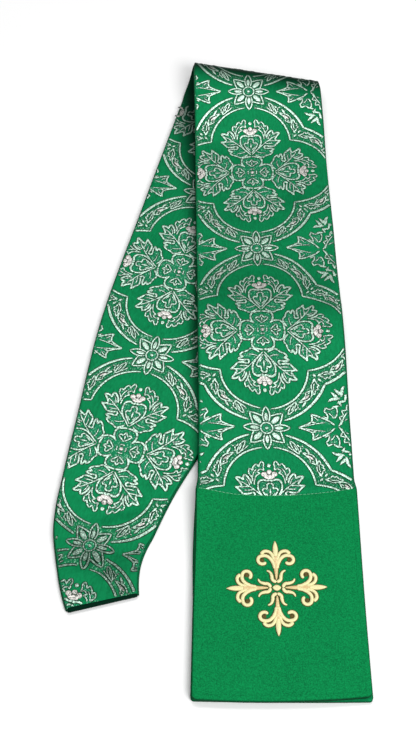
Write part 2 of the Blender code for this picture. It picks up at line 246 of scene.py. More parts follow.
# Painted light and shade on the woven lines: how brightly they shine, 0 to 1, at mm along the cloth
PAINTED_SHINE_COLUMNS = ("along", "shine")
PAINTED_SHINE_TABLE = (
    (-546.0, 0.80),
    (-532.0, 0.50),
    (-512.0, 0.42),
    (-492.0, 0.60),
    (-470.0, 0.88),
    (-300.0, 0.88),
    (-60.0, 0.80),
    (0.0, 1.0),
    (60.0, 1.0),
    (105.0, 0.76),
    (290.0, 0.74),
    (330.0, 0.90),
    (440.0, 0.92),
)
# Soft shade where a trough looks away from the light: the amount is the shade's depth, 0 to 1
SHADES = (
    (12.0, -512.0, 12.0, 34.0, 13.0, 0.20),
    (6.0, -536.0, 8.0, 30.0, 6.0, 0.12),
    (34.0, 250.0, -12.0, 26.0, 7.0, 0.24),
    (33.0, 152.0, -35.0, 18.0, 9.0, 0.24),
    (-30.0, 173.0, 8.0, 28.0, 9.0, 0.15),
    (-33.0, 256.0, 0.0, 15.0, 8.0, 0.13),
)


def smooth_step(amount):
    """0 below 0, 1 above 1, and half a cosine wave between them."""
    return 0.5 - 0.5 * np.cos(np.pi * np.clip(amount, 0.0, 1.0))


def smooth_table(where, places, values):
    """Cubic Hermite curve through a table's values, with the slopes of its neighbours."""
    slopes = np.gradient(values, places)
    row = np.clip(np.searchsorted(places, where) - 1, 0, len(places) - 2)
    span = places[row + 1] - places[row]
    t = np.clip((where - places[row]) / span, 0.0, 1.0)
    start = values[row] * (1 + 2 * t) * (1 - t) ** 2 + slopes[row] * span * t * (1 - t) ** 2
    end = values[row + 1] * t * t * (3 - 2 * t) - slopes[row + 1] * span * t * t * (1 - t)
    return start + end


def table_columns(table, names):
    """A table's columns as arrays, by name."""
    return dict(zip(names, np.array(table).T))


def reach(along):
    """How far the brocade reaches to the left and right, from the table's smooth curves."""
    column = {name: values * MM for name, values in table_columns(REACH_TABLE, REACH_COLUMNS).items()}
    return tuple(smooth_table(along, column["along"], column[side]) for side in ("left", "right"))


def flat_place(along, across):
    """Flat coordinates of a point on a section: straight, then fanned out on the neck's arc."""
    turn = np.clip((NECK_ARC_START - along) / NECK_ARC_RADIUS, 0.0, None)
    middle_u = NECK_ARC_RADIUS * (1 - np.cos(turn))
    middle_v = np.maximum(along, NECK_ARC_START) - NECK_ARC_RADIUS * np.sin(turn)
    return middle_u + across * np.cos(turn), middle_v + across * np.sin(turn)


def section_place(flat_u, flat_v):
    """The inverse of flat_place: on the arc, its angle gives along and its radius gives across."""
    past = NECK_ARC_START - flat_v
    inward = NECK_ARC_RADIUS - flat_u
    on_arc = past > 0
    along = np.where(on_arc, NECK_ARC_START - NECK_ARC_RADIUS * np.arctan2(past, inward), flat_v)
    return along, np.where(on_arc, NECK_ARC_RADIUS - np.hypot(inward, past), flat_u)


def fold_axes():
    """Unit vectors in plan: along the fold line to the right, and out past the fold."""
    along_fold = np.array([math.cos(FOLD_ANGLE), math.sin(FOLD_ANGLE)])
    return along_fold, np.array([-along_fold[1], along_fold[0]])


def fold_place(flat_u, flat_v):
    """Flat coordinates turned by the half angle: along the fold line, and round the fold."""
    fold_a = flat_u * math.cos(HALF_ANGLE) + flat_v * math.sin(HALF_ANGLE)
    return fold_a, flat_v * math.cos(HALF_ANGLE) - flat_u * math.sin(HALF_ANGLE)


def mirrored_place(flat_u, flat_v):
    """Flat coordinates of the place straight over or under, on the other fall."""
    fold_a, travel = fold_place(flat_u, flat_v)
    other_u = fold_a * math.cos(HALF_ANGLE) + travel * math.sin(HALF_ANGLE)
    return other_u, fold_a * math.sin(HALF_ANGLE) - travel * math.cos(HALF_ANGLE)


def loop_tables():
    """Arc length of half an ellipse against its angle, counted from the ellipse's middle."""
    depth = (LOOP_DEPTH_LEFT + LOOP_DEPTH_RIGHT) / 2
    half_height = (LOOP_HEIGHT_LEFT + LOOP_HEIGHT_RIGHT) / 4
    angle = np.linspace(-math.pi / 2, math.pi / 2, LOOP_POINTS)
    step = np.hypot(np.diff(depth * np.cos(angle)), np.diff(half_height * np.sin(angle)))
    length = np.concatenate([[0.0], np.cumsum(step)])
    return angle, length - length[-1] / 2, depth


def panel_share(along):
    """0 above the end panel and 1 along it, with a short ramp before its top edge."""
    return smooth_step((along - (FRONT_LENGTH - PANEL_LENGTH - PANEL_RAMP)) / PANEL_RAMP)


def front_height(flat_u, flat_v):
    """Height of the front fall: its cloths, the back fall's where it lies over them, one wave."""
    lower_u, lower_v = mirrored_place(flat_u, flat_v)
    inside = reach(np.clip(lower_v, -BACK_LENGTH, 0.0))[1] - lower_u
    lift = LIFT * smooth_step((inside + LIFT_CLEAR + LIFT_RAMP) / LIFT_RAMP)
    wave = np.clip(np.abs(flat_v - WAVE_MIDDLE) / WAVE_HALF_LENGTH, 0.0, 1.0)
    wave_height = WAVE_HEIGHT * (0.5 + 0.5 * np.cos(np.pi * wave))
    return STACK + lift + wave_height + PANEL_PITCH * panel_share(flat_v)


def spots(table, flat_u, flat_v, bend=0.0):
    """Each spot's amount at each place: a Gaussian along the spot and across it, with a bend."""
    made = []
    for row in table:
        spot = dict(zip(SPOT_COLUMNS, row))
        cosine = math.cos(math.radians(spot["turn"]))
        sine = math.sin(math.radians(spot["turn"]))
        from_u = flat_u / MM - spot["across"]
        from_v = flat_v / MM - spot["along"]
        run = from_u * cosine + from_v * sine
        off = from_v * cosine - from_u * sine + bend * run ** 2 / spot["length"]
        made.append(spot["amount"] * np.exp(-(run / spot["length"]) ** 2 - (off / spot["width"]) ** 2))
    return made


def outer_face(flat_u, flat_v):
    """The outermost cloth's outer face: half an ellipse about the fold line, then a fall each way.

    Round the fold the place follows half an ellipse, fuller at the left end. Past its lower end
    the face lies on the floor; past the upper end it settles onto the front fall's height.
    """
    fold_a, travel = fold_place(flat_u, flat_v)
    angle, length, depth = loop_tables()
    quarter = length[-1]
    loop_angle = np.interp(travel, length, angle)
    share = np.clip(0.5 + fold_a / FOLD_WIDTH, 0.0, 1.0)
    loop_depth = LOOP_DEPTH_LEFT + (LOOP_DEPTH_RIGHT - LOOP_DEPTH_LEFT) * share
    loop_height = LOOP_HEIGHT_LEFT + (LOOP_HEIGHT_RIGHT - LOOP_HEIGHT_LEFT) * share
    past = np.maximum(np.abs(travel) - quarter, 0.0)
    fold_n = loop_depth * np.cos(loop_angle) - depth - past
    height = loop_height * (0.5 + 0.5 * np.sin(loop_angle))
    settled = smooth_step(past / SETTLE_LENGTH)
    onto_fall = (front_height(flat_u, flat_v) - height) * settled
    height = np.where(travel > quarter, height + onto_fall, height)
    height = height + MM * sum(spots(CREASES, flat_u, flat_v, CREASE_BEND)) * settled
    along_fold, outwards = fold_axes()
    plan = fold_a[..., None] * along_fold + fold_n[..., None] * outwards
    return np.concatenate([plan, height[..., None]], axis=-1)


def fold_middle():
    """Where the fold's middle lies in the frame: the cross's middle less its place on the cloth."""
    low, high = (np.array(corner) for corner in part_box("cross"))
    on_face = outer_face(np.array([CROSS_ACROSS]), np.array([CROSS_ALONG]))[0]
    middle = (low + high) / 2 - on_face
    return np.array([middle[0], middle[1], 0.0])


FOLD_MIDDLE = fold_middle()


def on_cloth(flat_u, flat_v, depth):
    """Points at a depth under the outer face, moved along its normal; none is under the floor."""
    point = outer_face(flat_u, flat_v)
    side = outer_face(flat_u + NORMAL_STEP, flat_v) - outer_face(flat_u - NORMAL_STEP, flat_v)
    ahead = outer_face(flat_u, flat_v + NORMAL_STEP) - outer_face(flat_u, flat_v - NORMAL_STEP)
    inwards = np.cross(side, ahead)
    inwards /= np.linalg.norm(inwards, axis=-1, keepdims=True)
    point = point + inwards * depth[..., None]
    point[..., 2] = np.maximum(point[..., 2], 0.0)
    return point + FOLD_MIDDLE


def bow(along, across, hem_sag=HEM_SAG, hem_skew=0.0):
    """How much further along a section runs in its middle, and at the right end of the hem."""
    left, right = reach(along)
    top = FRONT_LENGTH - PANEL_LENGTH
    places = [top - SAG_REACH, top, top + SAG_REACH, FRONT_LENGTH]
    sag = np.interp(along, places, [0.0, PANEL_SAG, PANEL_MIDDLE_SAG, hem_sag])
    skew = hem_skew * smooth_step((along - FRONT_LENGTH + SAG_REACH) / SAG_REACH)
    share = (across - (right - left) / 2) / ((left + right) / 2)
    return sag * (1 - share ** 2) + skew * share


def corner_inset(along, end, radius):
    """How much a rounded corner takes off each side edge near the end of a wall."""
    left_over = np.clip(radius - (end - along), 0.0, radius)
    return radius - np.sqrt(radius ** 2 - left_over ** 2)


# ---------------------------------------------------------------- meshes from arrays


def new_piece(name, points, faces, finish, values):
    """A smooth mesh object in a finish, from arrays of points, faces and named values at the points."""
    mesh = bpy.data.meshes.new(name)
    mesh.from_pydata(points.reshape(-1, 3), [], faces)
    for label, data in values.items():
        kind, field = ("FLOAT", "value") if data.shape == points.shape[:-1] else ("FLOAT_VECTOR", "vector")
        attribute = mesh.attributes.new(label, kind, "POINT")
        attribute.data.foreach_set(field, data.ravel().astype(np.float32))
    mesh.materials.append(bpy.data.materials[finish])
    mesh.shade_smooth()
    if mesh.validate():
        raise RuntimeError(f"{name} has faces that are not valid")
    piece = bpy.data.objects.new(name, mesh)
    bpy.context.scene.collection.objects.link(piece)
    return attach(piece, "root")


def ring_quads(start, count):
    """Quads from rings of a count of points, each given by its first point's number, to the next."""
    here = start + np.arange(count)
    beside = np.roll(here, -1, axis=-1)
    return np.stack([here, here + count, beside + count, beside], axis=-1).reshape(-1, 4)


def wall_faces(rows, count, columns):
    """Quads between neighbouring rings of points, and strips that close the first and last ring.

    A ring runs along the top face's columns, down the right edge, back along the underside's
    columns and up the left edge. A closing strip joins each top column to the one under it, and
    a many-sided face closes it at each edge.
    """
    start = np.arange(rows - 1)[:, None] * count
    edge = count // 2 - columns
    top = np.arange(columns)
    under = columns + edge + top[::-1]
    strip = np.stack([top[:-1], top[1:], under[1:], under[:-1]], axis=-1)
    right = np.arange(columns - 1, columns + edge + 1)
    left = np.concatenate([np.arange(2 * columns + edge - 1, count), [0]])
    first = strip.tolist() + [right.tolist(), left.tolist()]
    last = [[(rows - 1) * count + i for i in reversed(face)] for face in first]
    return ring_quads(start, count).tolist() + first + last


def rounded_rows(first, last, step, radius):
    """Places along a cloth: even ones, and closer ones where its two ends are rounded."""
    bend = radius * (1 - np.cos(np.linspace(0.0, math.pi / 2, BEND_POINTS)))
    count = int(math.ceil((last - first - 2 * radius) / step))
    return np.concatenate([first + bend, np.linspace(first + radius, last - radius, count + 1)[1:-1],
                           (last - bend)[::-1]])


def end_share(along, radius):
    """Share of the thickness left at each place: a quarter circle at each end, never quite nothing."""
    inside = np.clip(np.minimum(along - along[0], along[-1] - along) / radius, 0.0, 1.0)
    return np.maximum(np.sqrt(1 - (1 - inside) ** 2), CLOSED_SHARE)


def cloth_ring(left, right, top, bottom, columns, plies):
    """Across and depth round a cloth: flat faces, and edges with one half round for each ply."""
    radius = ((bottom - top) / 2)[:, None]
    share = np.linspace(0.0, 1.0, columns)
    face = radius - left[:, None] + share * ((left + right)[:, None] - 2 * radius)
    down = np.linspace(0.0, 1.0, EDGE_POINTS + 2)[1:-1]
    out = radius * np.abs(np.sin(plies * np.pi * down)) ** EDGE_POWER
    edge_depth = top[:, None] + down * (bottom - top)[:, None]
    flat = np.ones(columns)
    across = [face, right[:, None] - radius + out, face[:, ::-1], (radius - out - left[:, None])[:, ::-1]]
    depth = [top[:, None] * flat, edge_depth, bottom[:, None] * flat, edge_depth[:, ::-1]]
    return np.concatenate(across, axis=1), np.concatenate(depth, axis=1)


def shade_at(flat_u, flat_v):
    """How deep the shade is, 0 to 1: the deepest of the fold's crest, the hollow and soft troughs.

    The crest is a Gaussian of the way round the fold, wider at its right end, and each trough a
    Gaussian across and along itself. On the back half the hollow fades, as half a cosine wave,
    from the front fall's left edge.
    """
    fold_a, travel = fold_place(flat_u, flat_v)
    crest_width = CREST_WIDTH + CREST_SPREAD * np.clip(0.5 + fold_a / FOLD_WIDTH, 0.0, 1.0)
    shade = np.exp(-((travel - CREST_MIDDLE) / crest_width) ** 2)
    hollow = table_columns(HOLLOW_TABLE, HOLLOW_COLUMNS)
    over_u, over_v = mirrored_place(flat_u, flat_v)
    beside = -reach(over_v)[0] - over_u
    width = np.interp(over_v / MM, hollow["along"], hollow["width"]) * MM
    depth = np.interp(over_v / MM, hollow["along"], hollow["depth"])
    shade = np.where(flat_v < 0, np.maximum(shade, depth * (1 - smooth_step(beside / width))), shade)
    for spot in spots(SHADES, flat_u, flat_v):
        shade = np.maximum(shade, spot)
    return shade


def painted_shine_at(flat_v):
    """Painted light and shade on the woven lines along the cloth, straight between the table's places."""
    column = table_columns(PAINTED_SHINE_TABLE, PAINTED_SHINE_COLUMNS)
    return np.interp(flat_v / MM, column["along"], column["shine"])


def edge_inset(along, across, shaded_start, shaded_left):
    """How far each place lies inside the nearest side edge or end, of those that are shaded."""
    side = across.max(axis=1, keepdims=True) - across
    if shaded_left:
        side = np.minimum(side, across - across.min(axis=1, keepdims=True))
    end = np.minimum(along - along[0], along[-1] - along) if shaded_start else along[-1] - along
    return np.minimum(side, end[:, None])


def cloth_piece(name, finish, along, across, depth, columns, hem, marks=None, shaded_start=True,
                shaded_left=True):
    """A closed cloth from sections: its points are placed on the form, and its flat place is kept."""
    places = along[:, None] + bow(along[:, None], across, **hem)
    flat_u, flat_v = flat_place(places, across)
    values = {
        "flat": np.stack([flat_u, flat_v, depth], axis=-1),
        "inset": edge_inset(along, across, shaded_start, shaded_left),
        "shade": shade_at(flat_u, flat_v),
    }
    if marks is not None:
        values.update(marks(flat_u, flat_v))
    faces = wall_faces(*across.shape, columns)
    return new_piece(name, on_cloth(flat_u, flat_v, depth), faces, finish, values)


def plain_cloth(name, finish, along, sides, top, bottom, columns, plies=1, hem=None, marks=None,
                shaded_left=True):
    """A cloth between two depths, each an array along the stole, with rounded edges and ends."""
    middle = (top + bottom) / 2
    half = (bottom - top) / 2 * end_share(along, WALL / 2)
    across, depth = cloth_ring(*sides, middle - half, middle + half, columns, plies)
    return cloth_piece(name, finish, along, across, depth, columns, hem or {}, marks,
                       shaded_left=shaded_left)


# ---------------------------------------------------------------- the woven figures' drawing

# A stroke is a kind, a width at its start and its end, and corners. A corner is its two places in
# mm, and the bulge of the arc to the next one: its height to the left, as a share of the chord.
# Kinds: a line narrows a little at each arc's ends; a leaf is a line whose inside is tinted; a
# blade is filled and pointed; a bud is filled and round; a petal is a bud in the paler thread; a
# band is one wide line with round ends.

# One eighth of a medallion: x to the right, y from its middle towards the star
MEDALLION_EIGHTH = (
    # contours of the band round the medallion
    ("line", (1.3, 1.8), ((4.5, 70.3, 0.183), (36.0, 36.0))),
    ("line", (1.8, 2.4), ((14.6, 80.9, 0.116), (49.0, 49.0))),
    # leaves and a blade that run along the band, nearer its inner contour
    ("leaf", (1.1, 1.1), ((17.8, 75.6, 0.10), (22.9, 70.4, 0.06), (24.9, 63.8, 0.10), (20.0, 69.2, 0.05),
                          (17.8, 75.6))),
    ("line", (0.9, 0.9), ((20.6, 72.0, 0.04), (22.8, 67.2))),
    ("line", (0.9, 0.9), ((23.4, 65.2, 0.05), (15.8, 71.4))),
    ("line", (1.1, 1.0), ((23.8, 72.6, -0.2), (25.8, 70.2, 0.2), (25.8, 67.8, -0.2), (26.9, 66.2, -0.3),
                          (24.6, 64.8))),
    ("bud", (1.3, 1.3), ((27.0, 70.8, 0.0), (28.4, 70.4))),
    ("blade", (1.9, 1.9), ((29.6, 69.0, 0.04), (33.0, 63.5))),
    ("leaf", (1.1, 1.1), ((27.0, 64.8, 0.06), (31.0, 63.9, 0.12), (36.8, 60.7, 0.16), (37.3, 54.0, -0.08),
                          (33.2, 55.8, 0.2), (33.4, 58.0, -0.06), (27.0, 64.8))),
    ("petal", (1.9, 1.9), ((30.2, 62.3, 0.06), (35.8, 58.4))),
    ("line", (0.9, 0.8), ((34.4, 57.6, 0.1), (36.4, 55.4))),
    ("leaf", (1.1, 1.2), ((40.0, 58.2, -0.04), (38.1, 52.8, -0.10), (38.4, 48.4, -0.06),
                          (41.2, 45.0, -0.05), (42.4, 48.4, -0.1), (44.4, 50.2, 0.05),
                          (42.2, 51.2, -0.1), (43.6, 53.4, 0.05), (41.2, 54.2, -0.05), (40.0, 58.2))),
    ("line", (0.9, 0.9), ((39.8, 54.6, -0.06), (40.6, 47.8))),
    # tulip and heart in the palmette
    ("leaf", (1.3, 1.5), ((0.3, 22.9, -0.02), (5.9, 31.6, -0.45), (2.7, 33.2, 0.05), (2.4, 36.2, -0.26),
                          (0.0, 38.6))),
    ("line", (1.0, 1.0), ((0.8, 26.4, -0.06), (3.5, 30.0))),
    ("leaf", (1.2, 2.4), ((6.4, 28.0, -0.12), (9.3, 38.0, -0.33), (2.6, 41.0, 0.12), (0.2, 42.2))),
    # flower over the heart
    ("petal", (4.8, 4.8), ((1.8, 47.4, 0.0), (6.4, 46.4))),
    # midrib, outline and veins of the big leaf
    ("line", (1.2, 1.0), ((0.5, 20.7, 0.02), (11.6, 32.4, 0.04), (19.6, 38.2))),
    ("leaf", (1.5, 1.7), ((3.4, 21.0, -0.06), (9.4, 17.4, -0.10), (12.0, 18.6, 0.08), (16.2, 20.2, -0.06),
                          (19.8, 23.6, 0.10), (16.6, 24.8, -0.06), (21.2, 26.6, -0.10), (14.2, 27.4, 0.62),
                          (14.0, 30.8, -0.08), (21.6, 30.0, 0.04), (27.4, 36.0, 0.14), (22.0, 37.0, 0.05),
                          (26.9, 44.0, -0.15), (20.6, 42.4, -0.10), (19.6, 47.0, -0.13), (14.6, 38.6))),
    ("line", (1.0, 0.7), ((13.0, 33.4, -0.05), (20.4, 33.0))),
    ("line", (1.0, 0.7), ((16.0, 35.9, 0.05), (24.0, 35.2))),
    ("line", (1.0, 0.7), ((16.8, 37.0, 0.05), (23.8, 41.0))),
    ("line", (1.0, 0.7), ((16.0, 37.4, 0.08), (18.6, 43.4))),
    ("line", (1.0, 0.6), ((5.0, 24.6, -0.10), (12.8, 22.8))),
    # feathered leaf beside the flower
    ("leaf", (1.1, 1.3), ((12.2, 37.8, -0.05), (11.2, 44.0, -0.15), (7.1, 47.6, 0.05), (9.7, 49.0, -0.12),
                          (6.2, 51.6, 0.05), (4.2, 50.4, 0.02), (4.7, 53.4, 0.22), (5.5, 58.4, 0.10),
                          (7.8, 53.8, -0.08), (9.8, 56.2, 0.14), (13.0, 50.4, 0.06), (15.4, 52.2, 0.10),
                          (16.0, 47.4, -0.14), (13.4, 41.0))),
    ("line", (0.9, 0.9), ((13.2, 44.6, -0.10), (9.8, 51.8))),
    # rosette's lobe, the fleur in it, and dashes round its middle
    ("leaf", (1.7, 1.7), ((6.6, 6.6, -0.12), (9.2, 13.2, -0.16), (6.8, 17.2, -0.06), (0.3, 18.5))),
    ("leaf", (1.2, 1.3), ((0.2, 6.8, 0.0), (5.3, 11.2, -0.30), (2.0, 11.9, 0.06), (0.2, 15.2))),
    ("line", (1.4, 1.2), ((0.0, 3.8, 0.08), (1.9, 3.4))),
)
# One quarter of a medallion
MEDALLION_QUARTER = (
    ("blade", (1.5, 1.5), ((0.0, 28.0, 0.0), (0.0, 34.0))),
    ("blade", (1.4, 1.4), ((0.0, 8.6, 0.0), (0.0, 12.6))),
    ("petal", (4.4, 4.4), ((-4.2, 44.5, 0.0), (4.2, 44.5))),
    ("petal", (4.2, 4.2), ((0.0, 46.8, 0.0), (0.0, 50.8))),
    ("bud", (3.3, 3.3), ((0.0, 52.8, 0.0), (0.0, 56.1))),
    # flower where two bands cross
    ("blade", (2.0, 2.0), ((39.6, 39.6, 0.0), (42.2, 42.2))),
    ("blade", (2.2, 2.2), ((46.6, 39.4, 0.0), (43.6, 41.4))),
    ("blade", (2.2, 2.2), ((39.4, 46.6, 0.0), (41.4, 43.6))),
    ("blade", (2.0, 2.0), ((46.2, 46.2, 0.0), (43.6, 43.6))),
)
MEDALLION_MIDDLE = (
    ("petal", (3.2, 3.2), ((-1.6, 0.0, 0.0), (1.6, 0.0))),
)
# One eighth and one quarter of the star
STAR_EIGHTH = (
    ("line", (1.3, 1.3), ((-0.3, 4.9, 0.1), (3.5, 3.4))),
    ("leaf", (1.2, 1.3), ((1.8, 5.8, -0.15), (0.0, 18.9))),
    ("leaf", (1.2, 1.4), ((3.2, 10.6, 0.04), (13.4, 13.4))),
)
STAR_QUARTER = (
    ("bud", (3.2, 3.2), ((0.0, 6.4, 0.0), (0.0, 13.4))),
    ("bud", (4.6, 4.6), ((4.4, 4.4, 0.0), (10.4, 10.4))),
)
STAR_MIDDLE = (
    ("bud", (2.6, 2.6), ((-1.3, 0.0, 0.0), (1.3, 0.0))),
)
# A quarter of the field between four medallions, beside the star
FIELD_QUARTER = (
    ("leaf", (1.5, 1.5), ((25.8, 0.2, -0.05), (36.4, 5.0))),
    ("leaf", (1.5, 1.5), ((39.8, 4.3, 0.05), (36.2, 4.8, -0.14), (36.0, 11.8, 0.03), (44.0, 8.7, 0.02),
                          (51.6, 4.6, -0.05), (54.8, 1.6))),
    ("line", (1.2, 1.2), ((46.0, 9.8, -0.04), (50.2, 7.4))),
    ("line", (0.9, 0.7), ((30.6, 0.8, 0.03), (47.0, 4.0))),
    ("line", (0.8, 0.7), ((41.4, 6.2, -0.08), (38.0, 9.4))),
    ("leaf", (1.3, 1.3), ((49.8, 8.0, -0.14), (46.7, 14.2, -0.12), (48.2, 17.6, -0.05), (52.4, 15.6, 0.05),
                          (56.6, 18.0, 0.12), (57.4, 12.0, 0.10), (54.8, 7.6))),
    ("line", (0.9, 0.9), ((50.4, 12.6, 0.08), (54.2, 7.8))),
    ("leaf", (1.2, 1.2), ((57.8, 0.4, -0.10), (60.6, 5.6, 0.12), (59.2, 9.2, -0.15), (62.8, 10.6, 0.12),
                          (61.6, 15.0, -0.15), (65.4, 15.2, 0.10), (66.8, 20.6, -0.10), (68.8, 14.4, 0.10),
                          (71.0, 11.6))),
    ("line", (1.1, 1.0), ((60.2, 1.6, 0.06), (67.2, 14.6))),
    ("line", (1.0, 0.8), ((63.4, 5.4, 0.10), (68.6, 7.6))),
    ("blade", (2.4, 2.4), ((50.8, 22.8, 0.06), (57.4, 26.0))),
    ("blade", (2.2, 2.2), ((54.8, 29.4, -0.06), (60.4, 25.0))),
    ("blade", (1.9, 1.9), ((53.4, 17.6, 0.0), (59.8, 18.8))),
    ("blade", (1.8, 1.8), ((61.4, 18.4, 0.0), (59.0, 23.6))),
    ("blade", (2.1, 2.1), ((56.2, 34.2, 0.05), (60.6, 28.4))),
    ("blade", (2.1, 2.1), ((61.4, 26.8, 0.0), (63.6, 33.2))),
    ("blade", (2.0, 2.0), ((64.6, 22.2, 0.05), (66.4, 29.6))),
)
EIGHTHS = [(turn, flip) for turn in range(4) for flip in (1, -1)]
QUARTERS = [(turn, 1) for turn in range(4)]
MIRRORED = [(0, 1), (2, 1), (0, -1), (2, -1)]
WHOLE = [(0, 1)]
MEDALLION = ((MEDALLION_EIGHTH, EIGHTHS), (MEDALLION_QUARTER, QUARTERS), (MEDALLION_MIDDLE, WHOLE))
STAR = ((STAR_EIGHTH, EIGHTHS), (STAR_QUARTER, QUARTERS), (STAR_MIDDLE, WHOLE), (FIELD_QUARTER, MIRRORED))
FILLED = {"blade": 0.85, "petal": 0.5, "bud": 0.5}     # power of a filled stroke's width along it
BAND_INNER = (34.57, 36.03)    # middle on the lobe's axis and radius of the band's inner contour, mm
BAND_OUTER = (29.6, 53.3)
ROSETTE_RADIUS = 13.0          # mm
STAR_RADIUS = 11.0


def arc_places(start, end, bulge, step):
    """Points along a circle's arc, from its chord and bulge.

    A bulge b has a central angle of 4 atan(2 b). At a share t of the arc the turn from its middle
    is that angle times t - 1/2; its sine and cosine give the place along and off the chord.
    """
    start, end = np.array(start), np.array(end)
    chord = end - start
    angle = 4 * math.atan(2 * (bulge or STRAIGHT_BULGE))
    length = np.linalg.norm(chord) * angle / (2 * math.sin(angle / 2))
    count = max(ARC_POINTS, int(math.ceil(length / step)) + 1)
    turn = angle * (np.linspace(0.0, 1.0, count) - 0.5)
    along = 0.5 + np.sin(turn) / (2 * math.sin(angle / 2))
    off = (np.cos(turn) - math.cos(angle / 2)) / (2 * math.sin(angle / 2))
    return start + along[:, None] * chord + off[:, None] * np.array([-chord[1], chord[0]])


def row_of_arcs(corners, step):
    """Points along several arcs, with each corner once."""
    arcs = [arc_places(a[:2], b[:2], a[2], step)[:-1] for a, b in zip(corners, corners[1:])]
    return np.concatenate(arcs + [np.array([corners[-1][:2]])])


def band_run(widths, corners, step):
    """One run along several arcs: its width changes evenly, and its ends are half rounds."""
    corner_places = row_of_arcs(corners, step)
    length = np.concatenate([[0.0], np.cumsum(np.hypot(*np.diff(corner_places, axis=0).T))])
    places_along = rounded_rows(0.0, length[-1], step, min(widths) / 2)
    places = np.stack([np.interp(places_along, length, axis) for axis in corner_places.T], axis=1)
    width = np.interp(places_along, (0.0, length[-1]), widths)
    return places, width * end_share(places_along, min(widths) / 2), 0.0


def stroke_runs(strokes, step):
    """The strokes as runs of points in mm, one for each arc, with the width at each point.

    A line narrows a little at each arc's two ends. A filled stroke's width is a power of 4 t (1 - t),
    and its points are closer together near its ends. A band is one run, with a half round at each end.
    """
    runs = []
    for kind, widths, corners in strokes:
        if kind == "band":
            runs.append(band_run(widths, corners, step))
            continue
        for number, corner in enumerate(corners[:-1]):
            places = arc_places(corner[:2], corners[number + 1][:2], corner[2], step)
            share = np.linspace(0.0, 1.0, len(places))
            width = np.interp((number + share) / (len(corners) - 1), (0.0, 1.0), widths)
            if kind in FILLED:
                eased = smooth_step(np.linspace(0.0, 1.0, max(FILLED_POINTS, len(places) + 2)))
                places = np.stack([np.interp(eased, share, axis) for axis in places.T], axis=1)
                width = widths[0] * np.maximum(4 * eased * (1 - eased), LEAST_FILLED) ** FILLED[kind]
            else:
                width = width * (1 - LINE_TAPER * np.abs(2 * share - 1) ** TAPER_POWER)
            runs.append((places, width, 1.0 if kind == "petal" else 0.0))
    return runs


def copies_of(runs, turns_and_flips, middle):
    """The runs turned by quarters about the middle, and mirrored first where the flip is -1."""
    made = []
    for turn, flip in turns_and_flips:
        cosine, sine = round(math.cos(turn * math.pi / 2)), round(math.sin(turn * math.pi / 2))
        matrix = np.array([[cosine * flip, sine * flip], [-sine, cosine]])
        made += [(places @ matrix + middle, width, pale) for places, width, pale in runs]
    return made


def stretch(flat_v):
    """How far the figures are stretched along the cloth at each place: the table's smooth curve."""
    column = table_columns(STRETCH_TABLE, STRETCH_COLUMNS)
    return smooth_table(flat_v / MM, column["along"], column["shift"]) * MM


def pattern_to_flat(places, origin, turn):
    """From the drawing's mm to flat coordinates: turned, from one star's flat place, and stretched."""
    turned = places @ np.array([[math.cos(turn), -math.sin(turn)], [math.sin(turn), math.cos(turn)]])
    flat = turned * MM + origin
    flat[:, 1] += stretch(flat[:, 1])
    return flat


def figure_runs(weave, origin, turn, first, last):
    """Every run of the woven figures on a stretch of cloth, in flat coordinates.

    Stars lie a repeat apart along the cloth and across it, and medallions half way between them.
    """
    repeat = weave.repeat / MM
    step = weave.thread_step / MM
    low = int(math.floor((first - origin[1]) / weave.repeat)) - 1
    high = int(math.ceil((last - origin[1]) / weave.repeat)) + 1
    made = []
    for row in range(low, high + 1):
        for column in (-1, 0, 1):
            star = np.array([column * repeat, row * repeat])
            for strokes, turns in STAR:
                runs = stroke_runs(strokes, step)
                made += copies_of(runs, turns, star)
                side_turns = [(turn + 1, flip) for turn, flip in turns]
                made += copies_of(runs, side_turns, star + repeat / 2)
            for strokes, turns in MEDALLION:
                made += copies_of(stroke_runs(strokes, step), turns, star + [0.0, repeat / 2])
    return [(pattern_to_flat(places, origin, turn), width * MM, pale) for places, width, pale in made]


def inside_outline(x, y, outline):
    """Whether each place is in a closed outline: an odd number of its edges lie to the right."""
    inside = np.zeros(x.shape, bool)
    for (x0, y0), (x1, y1) in zip(outline, np.roll(outline, -1, axis=0)):
        crosses = (y0 > y) != (y1 > y)
        inside ^= crosses & (x < x0 + (y - y0) * (x1 - x0) / ((y1 - y0) or 1e-9))
    return inside


def ground_marks(weave, origin, turn):
    """A function that marks the ground: 1 in leaves, and 1 in the band round each medallion.

    A place is folded back to one eighth of a repeat: its distances from the nearest medallion's
    middle across and along, the smaller one first.
    """
    def marks(flat_u, flat_v):
        repeat = weave.repeat / MM
        x, y = (flat_u - origin[0]) / MM, (flat_v - stretch(flat_v) - origin[1]) / MM
        x, y = x * math.cos(turn) - y * math.sin(turn), y * math.cos(turn) + x * math.sin(turn)
        x = np.abs((x + repeat / 2) % repeat - repeat / 2)
        y = np.abs(y % repeat - repeat / 2)
        small, large = np.minimum(x, y), np.maximum(x, y)
        to_star = repeat / 2 - large
        leaf = (np.hypot(small, large) < ROSETTE_RADIUS) | (np.hypot(small, to_star) < STAR_RADIUS)
        for strokes, upwards in ((MEDALLION_EIGHTH, large), (STAR_EIGHTH + FIELD_QUARTER, to_star)):
            for kind, _, corners in strokes:
                if kind == "leaf":
                    leaf |= inside_outline(small, upwards, row_of_arcs(corners, OUTLINE_STEP))
        inner = (large < BAND_INNER[1]) | (np.hypot(small, large - BAND_INNER[0]) < BAND_INNER[1])
        outer = np.hypot(small, large - BAND_OUTER[0]) < BAND_OUTER[1]
        return {"leaf": leaf.astype(float), "band": (outer & ~inner).astype(float)}
    return marks


# ---------------------------------------------------------------- threads and stitches on the cloth


